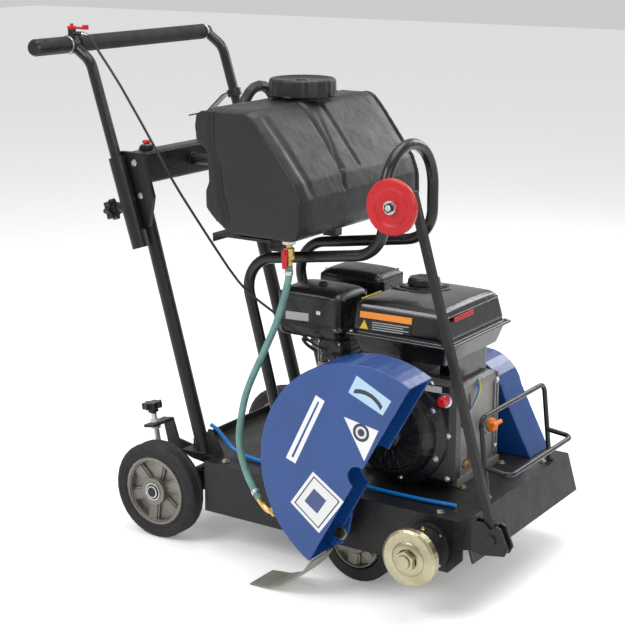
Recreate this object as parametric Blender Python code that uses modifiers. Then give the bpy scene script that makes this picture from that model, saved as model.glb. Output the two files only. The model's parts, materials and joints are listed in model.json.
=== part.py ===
"""Walk-behind concrete saw, 350 mm class: a petrol floor saw with its blade off and its guard tipped back.

Metres, +Z up. +X is the direction of travel, and the blade is on the right, at -Y.
The layout below counts x from the rear axle, y from the deck's centre line and z from the ground.
At the end everything moves by SHIFT, so that the origin is under the middle of the whole saw.
"""
import math

import bmesh
import bpy
from mathutils import Matrix, Vector

# ---------------------------------------------------------------- driving dimensions
GAP = 0.0003                      # between pieces that touch
SHIFT = Vector((-0.2806, 0.0385, 0.0))

DECK_TOP = 0.180
SHEET = 0.004
DECK_HALF = 0.225                 # outer face of the side skirts
DECK_REAR, DECK_FRONT = 0.112, 0.700
TONGUE_REAR, TONGUE_HALF = 0.030, 0.193
SKIRT_BOTTOM = 0.075
LIP_BOTTOM, LIP_LEAN = 0.105, 0.022

REAR_WHEEL_R, FRONT_WHEEL_R, WHEEL_W = 0.100, 0.080, 0.046
REAR_WHEEL_Y = 0.230              # middle of the tyre
FRONT_AXLE_X, FRONT_WHEEL_Y = 0.460, 0.185
TYRE_STEPS = 32
AXLE_R = 0.010

SWING_PIVOT = Vector((0.135, 0.0, 0.120))
SCREW_Y = -0.175
SCREW_FOOT, SCREW_LEAN = Vector((-0.042, SCREW_Y, 0.150)), math.radians(10.0)
SCREW_R = 0.006

POST_R, POST_Y = 0.014, 0.178
POST_FOOT, POST_TOP = Vector((0.076, 0.0, DECK_TOP)), Vector((-0.075, 0.0, 0.7195))
BEAM_LOW, BEAM_HIGH = Vector((-0.095, -0.195, 0.720)), Vector((-0.055, 0.195, 0.784))

LEG_R, LEG_Y = 0.011, 0.2175
SLEEVE_R, SLEEVE_BORE = 0.016, 0.0114
LEG_LEAN = math.radians(17.5)
LEG_DIR = Vector((-math.sin(LEG_LEAN), 0.0, math.cos(LEG_LEAN)))
LEG_BACK = Vector((-math.cos(LEG_LEAN), 0.0, -math.sin(LEG_LEAN)))
SLEEVE_LOW = Vector((-0.045, 0.0, 0.598))
SLEEVE_LENGTH, SLEEVE_KNOB = 0.186, 0.088
LEG_INSET = 0.012                 # how far the leg's foot stands inside the sleeve
BAR = Vector((-0.206, 0.0, 0.993))
BAR_NEAR, BAR_FAR, GRIP_R = -0.330, 0.231, 0.0165
PERCH_Y = -0.222
GRIP_SPAN = (-0.205, 0.205)

HOOP_R, HOOP_Y, HOOP_MID = 0.011, 0.0915, -0.0585
HOOP_FOOT_X, HOOP_REAR_X, HOOP_FRONT_X = 0.267, 0.156, 0.480
HOOP_LOW, HOOP_HIGH, BOW_TOP = 0.588, 0.634, 0.828
REAR_HOOP_X, REAR_HOOP_Y, REAR_HOOP_R = 0.073, 0.030, 0.058

TANK_BOTTOM, TANK_HALF = 0.650, 0.225
CAP_AT = Vector((0.185, 0.022, 0.890))
VALVE_AT = Vector((0.300, -0.195, 0.0))

CRANK = Vector((0.505, 0.0, 0.288))
ARBOR = Vector((0.630, 0.0, 0.120))
ARBOR_R, FLANGE_R = 0.0125, 0.055
PULLEY_Y, PULLEY_W = 0.200, 0.030
CRANK_PULLEY_R, ARBOR_PULLEY_R, BELT_T = 0.035, 0.042, 0.008

GUARD_R, GUARD_CENTRE, GUARD_TILT = 0.212, Vector((0.542, 0.0, 0.267)), math.radians(60.5)
GUARD_OUT, GUARD_IN, GUARD_SHEET = -0.335, -0.257, 0.003

ARM_Y, ARM_SIDE, ARM_LENGTH = -0.238, 0.015, 0.616
ARM_PIVOT, ARM_LEAN = Vector((0.768, ARM_Y, 0.170)), math.radians(16.3)
GUIDE_WHEEL_R, GUIDE_WHEEL_Y = 0.0495, -0.316

MATERIALS = {  # base colour, roughness, metallic
    "frame_black": ((0.018, 0.018, 0.020), 0.45, 0.0),
    "guard_blue": ((0.020, 0.065, 0.300), 0.30, 0.0),
    "tank_plastic": ((0.035, 0.035, 0.035), 0.60, 0.0),
    "rubber": ((0.020, 0.020, 0.021), 0.80, 0.0),
    "cast_alloy": ((0.420, 0.400, 0.370), 0.45, 0.9),
    "zinc": ((0.620, 0.590, 0.480), 0.35, 0.9),
    "steel": ((0.500, 0.500, 0.500), 0.30, 1.0),
    "engine_black": ((0.012, 0.012, 0.013), 0.30, 0.0),
    "crankcase": ((0.300, 0.300, 0.290), 0.50, 0.8),
    "red_plastic": ((0.600, 0.015, 0.020), 0.35, 0.0),
    "black_plastic": ((0.015, 0.015, 0.016), 0.50, 0.0),
    "orange_plastic": ((0.750, 0.240, 0.020), 0.40, 0.0),
    "green_hose": ((0.120, 0.270, 0.240), 0.45, 0.0),
    "blue_tube": ((0.000, 0.180, 0.550), 0.35, 0.0),
    "brass": ((0.650, 0.470, 0.180), 0.30, 1.0),
    "flap_rubber": ((0.200, 0.220, 0.180), 0.60, 0.0),
}


# ---------------------------------------------------------------- modelling helpers
def clear_scene():
    for item in list(bpy.data.objects):
        bpy.data.objects.remove(item, do_unlink=True)


def collection(name):
    group = bpy.data.collections.new(name)
    bpy.context.scene.collection.children.link(group)
    return group


def paint(name):
    found = bpy.data.materials.get(name)
    if found:
        return found
    colour, roughness, metallic = MATERIALS[name]
    made = bpy.data.materials.new(name)
    made.use_nodes = True
    shader = made.node_tree.nodes["Principled BSDF"]
    shader.inputs["Base Color"].default_value = (*colour, 1.0)
    shader.inputs["Roughness"].default_value = roughness
    shader.inputs["Metallic"].default_value = metallic
    return made


def new_object(name, data, finish=None):
    made = bpy.data.objects.new(name, data)
    PARTS.objects.link(made)
    if finish:
        data.materials.append(paint(finish))
    return made


def soften(mesh, angle=35.0):
    mesh.shade_smooth()
    mesh.set_sharp_from_angle(angle=math.radians(angle))


def mesh_object(name, shape, finish, round_piece=False):
    mesh = bpy.data.meshes.new(name)
    shape.to_mesh(mesh)
    shape.free()
    if round_piece:
        soften(mesh)
    return new_object(name, mesh, finish)


def bevel(item, width, segments=2, angle=30.0):
    step = item.modifiers.new("edges", "BEVEL")
    step.width = width
    step.segments = segments
    step.limit_method = "ANGLE"
    step.angle_limit = math.radians(angle)
    return item


def box(name, low, high, finish=None, edge=0.0, segments=1):
    low, high = Vector(low), Vector(high)
    shape = bmesh.new()
    size = Matrix.Diagonal((*(high - low), 1.0))
    bmesh.ops.create_cube(shape, size=1.0, matrix=Matrix.Translation((low + high) / 2) @ size)
    made = mesh_object(name, shape, finish)
    return bevel(made, edge, segments) if edge else made


def tapered_box(name, low, high, top_low, top_high, finish=None, edge=0.0, segments=1):
    """A box whose top face is the smaller rectangle from top_low to top_high, each an (x, y)."""
    made = box(name, low, high, finish)
    for corner in made.data.vertices:
        if corner.co.z > (low[2] + high[2]) / 2:
            for axis in (0, 1):
                at_low = corner.co[axis] < (low[axis] + high[axis]) / 2
                corner.co[axis] = top_low[axis] if at_low else top_high[axis]
    return bevel(made, edge, segments) if edge else made


def aimed(start, direction):
    """The matrix that puts local +Z along a direction, at a start point."""
    turn = Vector(direction).to_track_quat("Z", "Y").to_matrix().to_4x4()
    return Matrix.Translation(start) @ turn


def rod(name, start, end, radius, finish=None, sides=20, end_radius=None):
    start, end = Vector(start), Vector(end)
    along = end - start
    shape = bmesh.new()
    middle = aimed((start + end) / 2, along)
    last = radius if end_radius is None else end_radius
    bmesh.ops.create_cone(shape, cap_ends=True, segments=sides, radius1=radius, radius2=last,
                          depth=along.length, matrix=middle)
    return mesh_object(name, shape, finish, round_piece=True)


def turned(name, profile, place, direction, finish=None, steps=24, closed=False):
    """Turn a profile of (radius, height) about local Z, then aim local Z along a direction.

    A closed profile is a ring. An open one starts and ends on the axis.
    """
    mesh = bpy.data.meshes.new(name)
    edges = [(n, n + 1) for n in range(len(profile) - 1)]
    if closed:
        edges.append((len(profile) - 1, 0))
    mesh.from_pydata([(r, 0.0, h) for r, h in profile], edges, [])
    made = new_object(name, mesh, finish)
    screw = made.modifiers.new("turn", "SCREW")
    screw.axis = "Z"
    screw.steps = screw.render_steps = steps
    screw.use_merge_vertices = True
    screw.merge_threshold = 0.00001
    made.matrix_world = aimed(place, direction)
    return made


def ring(name, inner, outer, low, high, place, direction, finish=None, steps=24):
    profile = [(outer, high), (outer, low), (inner, low), (inner, high)]
    return turned(name, profile, place, direction, finish, steps, closed=True)


def pipe(name, points, radius, finish=None, fineness=3, closed=False):
    curve = bpy.data.curves.new(name, "CURVE")
    curve.dimensions = "3D"
    curve.bevel_depth = radius
    curve.bevel_resolution = fineness
    curve.use_fill_caps = not closed
    line = curve.splines.new("POLY")
    line.points.add(len(points) - 1)
    line.use_cyclic_u = closed
    for spot, where in zip(line.points, points):
        spot.co = (*where, 1.0)
    return new_object(name, curve, finish)


def plate(name, outline, low_y, high_y, finish=None, holes=()):
    """A flat outline of (x, z), as thick as from low_y to high_y."""
    curve = bpy.data.curves.new(name, "CURVE")
    curve.dimensions = "2D"
    curve.fill_mode = "BOTH"
    curve.extrude = (high_y - low_y) / 2
    for loop in (outline, *holes):
        line = curve.splines.new("POLY")
        line.points.add(len(loop) - 1)
        line.use_cyclic_u = True
        for spot, (x, z) in zip(line.points, loop):
            spot.co = (x, z, 0.0, 1.0)
    made = new_object(name, curve, finish)
    made.matrix_world = Matrix.Translation((0, (low_y + high_y) / 2, 0)) @ Matrix.Rotation(math.pi / 2, 4, "X")
    return made


def strip(name, line, low_y, high_y, thickness, finish):
    """A bent sheet: a line of (x, z) as wide as from low_y to high_y."""
    mesh = bpy.data.meshes.new(name)
    points = [(x, y, z) for x, z in line for y in (low_y, high_y)]
    faces = [(2 * n, 2 * n + 1, 2 * n + 3, 2 * n + 2) for n in range(len(line) - 1)]
    mesh.from_pydata(points, [], faces)
    made = new_object(name, mesh, finish)
    skin = made.modifiers.new("sheet", "SOLIDIFY")
    skin.thickness = thickness
    skin.offset = 0.0
    return made


def as_mesh(item):
    """The same piece as a plain mesh, with its caps welded, so that it can be cut or joined."""
    bpy.context.view_layer.update()
    seen = item.evaluated_get(bpy.context.evaluated_depsgraph_get())
    mesh = bpy.data.meshes.new_from_object(seen)
    shape = bmesh.new()
    shape.from_mesh(mesh)
    bmesh.ops.remove_doubles(shape, verts=shape.verts, dist=0.00001)
    bmesh.ops.recalc_face_normals(shape, faces=shape.faces)
    shape.to_mesh(mesh)
    shape.free()
    name, place = item.name, item.matrix_world.copy()
    bpy.data.objects.remove(item, do_unlink=True)
    mesh.name = name
    made = new_object(name, mesh)
    made.matrix_world = place
    return made


def combine(item, other, operation):
    other = as_mesh(other)
    other.name = f"{item.name}_{operation.lower()}_{len(item.modifiers)}"
    PARTS.objects.unlink(other)
    CUTTERS.objects.link(other)
    other.hide_render = True
    other.display_type = "WIRE"
    step = item.modifiers.new(other.name, "BOOLEAN")
    step.operation = operation
    step.object = other
    return item


def cut(item, *cutters):
    for cutter in cutters:
        combine(item, cutter, "DIFFERENCE")
    return item


def join(item, *pieces):
    for piece in pieces:
        combine(item, piece, "UNION")
    return item


def arc(centre, radius, start, end, steps):
    """Points on a circle from one angle to another, in degrees."""
    angles = [math.radians(start + (end - start) * n / steps) for n in range(steps + 1)]
    return [(centre[0] + radius * math.cos(a), centre[1] + radius * math.sin(a)) for a in angles]


def bent(corners, radii, steps=6):
    """A line through corners, each inner one rounded to its radius."""
    corners = [Vector(c) for c in corners]
    points = [corners[0]]
    for before, corner, after, radius in zip(corners, corners[1:], corners[2:], radii):
        back, ahead = (before - corner).normalized(), (after - corner).normalized()
        half = back.angle(ahead) / 2
        reach = radius / math.tan(half)
        centre = corner + (back + ahead).normalized() * (radius / math.sin(half))
        first, last = corner + back * reach - centre, corner + ahead * reach - centre
        for n in range(steps + 1):
            points.append(centre + first.normalized().slerp(last.normalized(), n / steps) * radius)
    points.append(corners[-1])
    return points


def smooth(route, pieces):
    """A smooth curve through a route's points, with this many pieces between each two."""
    route = [Vector(p) for p in route]
    ends = [2 * route[0] - route[1], *route, 2 * route[-1] - route[-2]]
    points = []
    for a, b, c, d in zip(ends, ends[1:], ends[2:], ends[3:]):
        for n in range(pieces):
            t = n / pieces
            points.append(0.5 * ((2 * b) + (c - a) * t + (2 * a - 5 * b + 4 * c - d) * t ** 2
                                 + (3 * b - a - 3 * c + d) * t ** 3))
    return [*points, route[-1]]


def hexagon(name, across, low, high, place, direction, finish, bore):
    start, along = Vector(place), Vector(direction).normalized()
    made = rod(name, start + along * low, start + along * high, across / math.sqrt(3), finish, sides=6)
    return cut(made, rod("bore", start + along * (low - 0.01), start + along * (high + 0.01), bore, sides=24))


def star(name, place, direction, finish, radius=0.022, thickness=0.014, bolt=0.030):
    """A star knob: seven lobes round a hub, on its own bolt along -direction."""
    lobes = 7
    outline = []
    for n in range(lobes * 6):
        angle = 2 * math.pi * n / (lobes * 6)
        reach = radius * (0.86 + 0.14 * math.cos(lobes * angle))
        outline.append((reach * math.cos(angle), reach * math.sin(angle)))
    made = as_mesh(plate(name, outline, -thickness / 2, thickness / 2, finish))
    flat = Matrix.Rotation(-math.pi / 2, 4, "X")
    made.data.transform(flat @ made.matrix_world)
    made.matrix_world = aimed(place, direction)
    shank = rod("shank", place, Vector(place) - Vector(direction).normalized() * bolt, 0.004, sides=12)
    hub = rod("hub", place, Vector(place) - Vector(direction).normalized() * (thickness / 2 + 0.008), 0.011,
              sides=14)
    return join(made, hub, shank)


# ---------------------------------------------------------------- chassis
def make_deck():
    top = [(TONGUE_REAR, -TONGUE_HALF), (DECK_REAR, -TONGUE_HALF), (DECK_REAR, -DECK_HALF),
           (DECK_FRONT, -DECK_HALF), (DECK_FRONT, DECK_HALF), (DECK_REAR, DECK_HALF),
           (DECK_REAR, TONGUE_HALF), (TONGUE_REAR, TONGUE_HALF)]
    slot = [(0.525, 0.178), (0.650, 0.178), (0.650, 0.2205), (0.525, 0.2205)]
    deck = plate("deck", top, -SHEET / 2, SHEET / 2, "frame_black", holes=[slot])
    deck.matrix_world = Matrix.Translation((0, 0, DECK_TOP - SHEET / 2))
    deck = as_mesh(deck)
    inner = DECK_HALF - SHEET
    under = DECK_TOP - SHEET / 2
    skirt = [(DECK_REAR, SKIRT_BOTTOM), (DECK_REAR, under), (DECK_FRONT - 0.001, under),
             (DECK_FRONT - 0.001, LIP_BOTTOM), (DECK_FRONT - 0.030, SKIRT_BOTTOM)]
    shaft_hole = arc((ARBOR.x, ARBOR.z), 0.016, 0, 345, 15)
    lip = [(DECK_FRONT - SHEET, under), (DECK_FRONT, DECK_TOP), (DECK_FRONT + LIP_LEAN, LIP_BOTTOM),
           (DECK_FRONT + LIP_LEAN - SHEET, LIP_BOTTOM)]
    wall = box("wall", (DECK_REAR, -0.154, 0.092), (DECK_REAR + SHEET, 0.154, under))
    stiffener = box("stiffener", (0.034, -0.160, under), (0.038, TONGUE_HALF, DECK_TOP + 0.016))
    lugs = [plate("lug", [(0.115, 0.098), (0.150, 0.098), (0.156, under), (0.113, under)], y - 0.003, y + 0.003)
            for y in (-0.160, 0.160)]
    hangers = [plate("hanger", [(0.440, 0.066), (0.480, 0.066), (0.492, under), (0.428, under)], y - 0.003, y + 0.003)
               for y in (-0.140, 0.140)]
    join(deck, plate("right_skirt", skirt, -DECK_HALF, -inner, holes=[shaft_hole]),
         plate("left_skirt", skirt, inner, DECK_HALF), plate("lip", lip, -DECK_HALF, DECK_HALF),
         wall, stiffener, *lugs, *hangers)
    for y in (-0.140, 0.140):
        cut(deck, rod("axle_hole", (FRONT_AXLE_X, y - 0.01, FRONT_WHEEL_R),
                      (FRONT_AXLE_X, y + 0.01, FRONT_WHEEL_R), AXLE_R + GAP, sides=16))
    for y in (-0.160, 0.160):
        cut(deck, rod("pivot_hole", SWING_PIVOT + Vector((0, y - 0.01, 0)),
                      SWING_PIVOT + Vector((0, y + 0.01, 0)), 0.0063, sides=16))
    for side in (-1, 1):
        y = side * POST_Y
        foot = [(0.088, under), (0.088, DECK_TOP + 0.050), (0.094, DECK_TOP + 0.050), (0.128, under)]
        join(deck, plate("gusset", foot, y - 0.003, y + 0.003))
    return deck


def make_posts():
    for name, side in (("post_right", -1), ("post_left", 1)):
        aside = Vector((0, side * POST_Y, 0))
        along = (POST_TOP - POST_FOOT).normalized()
        low = POST_FOOT + aside - along * 0.02
        high = POST_TOP + aside + along * 0.02
        post = rod(name, low, high, POST_R, "frame_black", sides=20)
        floor = box("floor", (-0.2, -0.4, DECK_TOP - 0.1), (0.4, 0.4, DECK_TOP + GAP))
        ceiling = box("ceiling", (-0.2, -0.4, BEAM_LOW.z - GAP), (0.2, 0.4, BEAM_LOW.z + 0.1))
        gusset = box("gusset_slot", (0.0875, aside.y - 0.0035, DECK_TOP - 0.01),
                     (0.140, aside.y + 0.0035, DECK_TOP + 0.051))
        cut(post, floor, ceiling, gusset)


def make_beam():
    beam = box("cross_beam", BEAM_LOW, BEAM_HIGH, "frame_black", edge=0.005, segments=2)
    corner = REAR_HOOP_R
    start = Vector((BEAM_HIGH.x - 0.006, REAR_HOOP_Y - corner, 0.753))
    side = [start, (REAR_HOOP_X, REAR_HOOP_Y - corner, 0.753)]
    top = 0.905
    far = [Vector((p[0], 2 * REAR_HOOP_Y - p[1], p[2])) for p in reversed(side)]
    crown = [(REAR_HOOP_X, REAR_HOOP_Y - corner, top), (REAR_HOOP_X, REAR_HOOP_Y + corner, top)]
    join(beam, pipe("rear_hoop", bent([*side, *crown, *far], [0.030, corner - 0.001, corner - 0.001, 0.030], 5),
                    HOOP_R, None, 4))


def make_sleeve(name, side):
    aside = Vector((0, side * LEG_Y, 0))
    low = SLEEVE_LOW + aside
    sleeve = as_mesh(ring(name, SLEEVE_BORE, SLEEVE_R, 0.0, SLEEVE_LENGTH, low, LEG_DIR, "frame_black", 20))
    outline = [(-0.101, 0.720), (-0.101, 0.786), (-0.045, 0.786), (-0.020, 0.700), (-0.032, 0.640), (-0.058, 0.628)]
    inner, outer = side * (BEAM_HIGH.y + GAP), side * (BEAM_HIGH.y + 0.0095)
    web = plate("web", outline, min(inner, outer), max(inner, outer))
    boss_at = low + LEG_DIR * SLEEVE_KNOB
    boss = rod("boss", boss_at + LEG_BACK * 0.0135, boss_at + LEG_BACK * 0.028, 0.009, sides=16)
    thread = rod("thread", boss_at, boss_at + LEG_BACK * 0.05, 0.0043, sides=16)
    bore = rod("bore", low - LEG_DIR * 0.01, low + LEG_DIR * (SLEEVE_LENGTH + 0.01), SLEEVE_BORE, sides=20)
    return cut(join(sleeve, web, boss), bore, thread)


def make_lifting_hoop():
    lean = (HOOP_FOOT_X - HOOP_REAR_X) / (HOOP_LOW - DECK_TOP)
    near = HOOP_MID - HOOP_Y
    corners = [(HOOP_FOOT_X + lean * 0.02, near, DECK_TOP - 0.02), (HOOP_REAR_X, near, HOOP_LOW),
               (HOOP_FRONT_X, near, HOOP_HIGH), (HOOP_FRONT_X, near, BOW_TOP)]
    far = [(x, 2 * HOOP_MID - y, z) for x, y, z in reversed(corners)]
    radii = [0.065, 0.065, HOOP_Y - 0.0005, HOOP_Y - 0.0005, 0.065, 0.065]
    hoop = as_mesh(pipe("lifting_hoop", bent([*corners, *far], radii, 6), HOOP_R, "frame_black", 4))
    return cut(hoop, box("floor", (0.2, -0.3, DECK_TOP - 0.1), (0.35, 0.2, DECK_TOP + GAP)))


def make_front_bracket():
    """A channel bolted to the deck's front corner. It holds the guide arm's foot between two plates."""
    outline = [(0.729, 0.200), (0.754, 0.199), (0.7655, 0.189), (0.777, 0.198), (0.786, 0.195), (0.8015, 0.158),
               (0.795, 0.145), (0.7505, 0.138), (0.729, 0.142)]
    tail = [(0.682, 0.178), *outline[:-1], (0.682, 0.126)]
    near, far = ARM_Y - ARM_SIDE / 2 - 0.001, ARM_Y + ARM_SIDE / 2
    outer = as_mesh(plate("front_bracket", outline, near - 0.0035, near, "frame_black"))
    inner = plate("inner_plate", tail, far, -DECK_HALF - GAP)
    web = box("web", (0.729, near - 0.001, 0.1415), (0.733, far + 0.0005, 0.1995))
    bolt = rod("bolt", (ARM_PIVOT.x, near - 0.0075, ARM_PIVOT.z), (ARM_PIVOT.x, far + 0.0005, ARM_PIVOT.z), 0.005,
               sides=16)
    head = rod("head", (ARM_PIVOT.x, near - 0.0077, ARM_PIVOT.z), (ARM_PIVOT.x, near - 0.003, ARM_PIVOT.z), 0.010,
               sides=6)
    return join(outer, inner, web, bolt, head)


def make_bumper():
    """A rod guard in front of the engine: an upright hoop, with a second hoop welded on and facing forward."""
    near, far, radius = -0.105, 0.165, 0.005
    foot, top = Vector((0.686, 0, DECK_TOP - 0.02)), Vector((0.668, 0, 0.338))
    upright = [foot + Vector((0, near, 0)), top + Vector((0, near, 0)),
               top + Vector((0, far, 0)), foot + Vector((0, far, 0))]
    bumper = as_mesh(pipe("front_bumper", bent(upright, [0.018, 0.018], 5), radius, "frame_black", 3))
    reach = [(0.679, near, 0.244), (0.732, near, 0.238), (0.732, far, 0.238), (0.679, far, 0.244)]
    join(bumper, pipe("reach", bent(reach, [0.016, 0.016], 5), radius * 0.98, None, 3))
    return cut(bumper, box("floor", (0.6, -0.2, DECK_TOP - 0.1), (0.75, 0.25, DECK_TOP + GAP)))


# ---------------------------------------------------------------- wheels
def make_wheel(name, radius, place, rim_radius, hub_radius):
    """A rubber tyre on a cast rim. One flat of the tyre faces straight down."""
    flat = radius / math.cos(math.pi / TYRE_STEPS)
    half = WHEEL_W / 2
    tread = [(flat, 0.015), (flat, 0.009), (flat - 0.002, 0.007), (flat - 0.002, -0.007), (flat, -0.009),
             (flat, -0.015), (flat - 0.003, -half + 0.004), (flat - 0.010, -half), (rim_radius + 2 * GAP, -half + 0.001),
             (rim_radius + 2 * GAP, half - 0.001), (flat - 0.010, half), (flat - 0.003, half - 0.004)]
    tyre = turned(f"{name}_tyre", tread, place, (0, 1, 0), "rubber", TYRE_STEPS, closed=True)
    tyre.matrix_world = tyre.matrix_world @ Matrix.Rotation(math.pi / TYRE_STEPS, 4, "Z")
    side, web = half - 0.003, 0.006
    rim = [(rim_radius, side), (rim_radius, -side), (rim_radius - 0.006, -side), (rim_radius - 0.009, -web),
           (hub_radius + 0.002, -web), (hub_radius, -half), (AXLE_R + GAP, -half), (AXLE_R + GAP, half),
           (hub_radius, half), (hub_radius + 0.002, web), (rim_radius - 0.009, web), (rim_radius - 0.006, side)]
    turned(f"{name}_rim", rim, place, (0, 1, 0), "cast_alloy", 24, closed=True)


def make_front_wheel(name, place):
    """A solid rubber wheel, tyre and web in one moulding."""
    flat = FRONT_WHEEL_R / math.cos(math.pi / TYRE_STEPS)
    half = WHEEL_W / 2
    outline = [(flat, half - 0.006), (flat, -half + 0.006), (flat - 0.006, -half), (0.056, -half), (0.052, -0.012),
               (AXLE_R + GAP, -0.012), (AXLE_R + GAP, 0.012), (0.052, 0.012), (0.056, half), (flat - 0.006, half)]
    wheel = turned(name, outline, place, (0, 1, 0), "rubber", TYRE_STEPS, closed=True)
    wheel.matrix_world = wheel.matrix_world @ Matrix.Rotation(math.pi / TYRE_STEPS, 4, "Z")


def make_wheels():
    for side, hand in ((-1, "right"), (1, "left")):
        make_wheel(f"rear_wheel_{hand}", REAR_WHEEL_R, (0, side * REAR_WHEEL_Y, REAR_WHEEL_R), 0.072, 0.028)
        make_front_wheel(f"front_wheel_{hand}", (FRONT_AXLE_X, side * FRONT_WHEEL_Y, FRONT_WHEEL_R))
    span = FRONT_WHEEL_Y + WHEEL_W / 2 + 0.004
    rod("front_axle", (FRONT_AXLE_X, -span, FRONT_WHEEL_R), (FRONT_AXLE_X, span, FRONT_WHEEL_R), AXLE_R, "steel", 20)


def make_rear_axle():
    """Two swing plates on a cross tube and the axle. The right plate has the lug that the depth nut moves."""
    y = 0.170
    axle = (0.0, REAR_WHEEL_R)
    pivot = (SWING_PIVOT.x, SWING_PIVOT.z)
    foot = (SCREW_FOOT.x, SCREW_FOOT.z - 0.0025)
    arm = [*arc(pivot, 0.013, -90, 90, 8), *arc(axle, 0.016, 90, 270, 8)]
    lug = [*arc(pivot, 0.013, -90, 90, 8), (0.020, 0.140), (foot[0], foot[1] - 0.001), (foot[0] - 0.018, foot[1] - 0.001),
           (foot[0] - 0.018, foot[1] - 0.014), *arc(axle, 0.016, 190, 270, 6)]
    right = as_mesh(plate("rear_axle_frame", lug, -y - 0.009, -y - 0.001, "frame_black"))
    left = plate("left_plate", arm, y + 0.001, y + 0.009)
    rail = rod("rail", (0.030, -y - 0.005, 0.104), (0.030, y + 0.005, 0.104), 0.009, sides=16)
    span = REAR_WHEEL_Y + WHEEL_W / 2 + 0.005
    shaft = rod("shaft", (0, -span, REAR_WHEEL_R), (0, span, REAR_WHEEL_R), AXLE_R, sides=20)
    pins = [rod("pin", SWING_PIVOT + Vector((0, side * 0.152, 0)), SWING_PIVOT + Vector((0, side * 0.175, 0)), 0.006,
                sides=16) for side in (-1, 1)]
    shelf = box("shelf", (foot[0] - 0.018, SCREW_Y - 0.011, foot[1] - 0.006),
                (foot[0] + 0.014, SCREW_Y + 0.011, foot[1] - 0.001))
    up = Vector((-math.sin(SCREW_LEAN), 0, math.cos(SCREW_LEAN)))
    slot = rod("slot", SCREW_FOOT - up * 0.04, SCREW_FOOT + up * 0.03, SCREW_R + 0.004, sides=16)
    return cut(join(right, left, rail, shaft, shelf, *pins), slot)


def make_depth_adjuster():
    up = Vector((-math.sin(SCREW_LEAN), 0, math.cos(SCREW_LEAN)))
    collar = SCREW_FOOT + up * 0.066
    knob_at = SCREW_FOOT + up * 0.106
    reach = [(0.108, 0.128), (0.1117, 0.128), (0.1117, 0.170), (0.020, 0.168), (-0.026, 0.176),
             (collar.x + 0.0135, collar.z + 0.003), (collar.x - 0.0135, collar.z + 0.001), (-0.053, 0.160), (0.010, 0.140)]
    bracket = as_mesh(plate("depth_bracket", reach, -0.135, -0.130, "frame_black"))
    table = box("table", (-0.014, -0.196, -0.003), (0.014, -0.131, 0.003))
    table.matrix_world = Matrix.Translation((collar.x, 0, collar.z)) @ Matrix.Rotation(-SCREW_LEAN, 4, "Y")
    eye = rod("eye", collar - up * 0.02, collar + up * 0.02, SCREW_R + GAP, sides=20)
    cut(join(bracket, table), eye)

    screw = rod("depth_screw", SCREW_FOOT - up * 0.018, knob_at, SCREW_R, "steel", 20)
    collars = [ring("collar", SCREW_R - 0.001, 0.010, low, high, collar, up)
               for low, high in ((-0.0095, -0.0033), (0.0033, 0.0095))]
    knob = star("knob", knob_at, up, None, 0.022, 0.013, 0.012)
    join(screw, *collars, knob)
    hexagon("depth_nut", 0.022, 0.0, 0.012, SCREW_FOOT, up, "zinc", bore=SCREW_R + GAP)


# ---------------------------------------------------------------- handle
def make_handle():
    foot = SLEEVE_LOW + LEG_DIR * LEG_INSET
    knee = foot + LEG_DIR * ((0.962 - foot.z) / LEG_DIR.z)
    side = [foot, knee, BAR]
    frame = None
    for sign in (-1, 1):
        aside = Vector((0, sign * LEG_Y, 0))
        leg = pipe("handle_frame" if frame is None else "leg", [p + aside for p in bent(side, [0.045], 6)], LEG_R,
                   "frame_black", 5)
        frame = as_mesh(leg) if frame is None else join(frame, leg)
    join(frame, rod("bar", BAR + Vector((0, BAR_NEAR + 0.004, 0)), BAR + Vector((0, BAR_FAR - 0.004, 0)), 0.0125,
                    sides=20))
    hook = [(-0.128, 0.865), (-0.146, 0.857), (-0.187, 0.820), (-0.193, 0.817), (-0.240, 0.806)]
    strap = strip("strap", hook, LEG_Y - 0.023, LEG_Y - 0.001, 0.003, None)
    clamp_at = foot + LEG_DIR * ((0.862 - foot.z) / LEG_DIR.z) + Vector((0, LEG_Y, 0))
    perch_at = BAR + Vector((0, PERCH_Y, 0))
    stem = rod("stem", perch_at + Vector((0.004, 0, 0.010)), perch_at + Vector((0.004, 0, 0.030)), 0.008, sides=16)
    barrel = rod("barrel", perch_at + Vector((0.010, 0, 0.022)), perch_at + Vector((0.026, 0.004, 0.022)), 0.004,
                 sides=12)
    join(frame, strap, rod("clamp", clamp_at - LEG_DIR * 0.008, clamp_at + LEG_DIR * 0.008, LEG_R + 0.005, sides=20),
         rod("perch", perch_at - Vector((0, 0.008, 0)), perch_at + Vector((0, 0.008, 0)), 0.0190, sides=18),
         turned("stub", [(0.0, 0.0), (0.014, 0.0), (0.0165, 0.004), (0.0165, 0.095), (0.0, 0.095)],
                BAR + Vector((0, BAR_NEAR, 0)), (0, 1, 0), None, 18), stem, barrel)
    skin = 0.0128
    low, high = GRIP_SPAN
    profile = [(GRIP_R - 0.003, high), (GRIP_R, high - 0.003), (GRIP_R, low + 0.003), (GRIP_R - 0.003, low),
               (skin, low), (skin, high)]
    turned("handle_grip", profile, BAR, (0, 1, 0), "rubber", 20, closed=True)


def make_throttle():
    at = BAR + Vector((0, PERCH_Y, 0))
    pivot = at + Vector((0.004, 0, 0.0303))
    lever = as_mesh(ring("throttle_lever", 0.0, 0.009, 0.0, 0.006, pivot, (0, 0, 1), "red_plastic", 20))
    paddle = box("paddle", (0.002, -0.005, 0.0008), (0.036, 0.005, 0.0050), edge=0.0015)
    tip = rod("tip", (0.036, 0, 0.0004), (0.036, 0, 0.009), 0.0065, sides=16)
    screw = rod("screw", (0, 0, 0.005), (0, 0, 0.011), 0.0035, sides=12)
    for extra in (paddle, tip, screw):
        extra.matrix_world = Matrix.Translation(pivot)
    join(lever, paddle, tip, screw)


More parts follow.
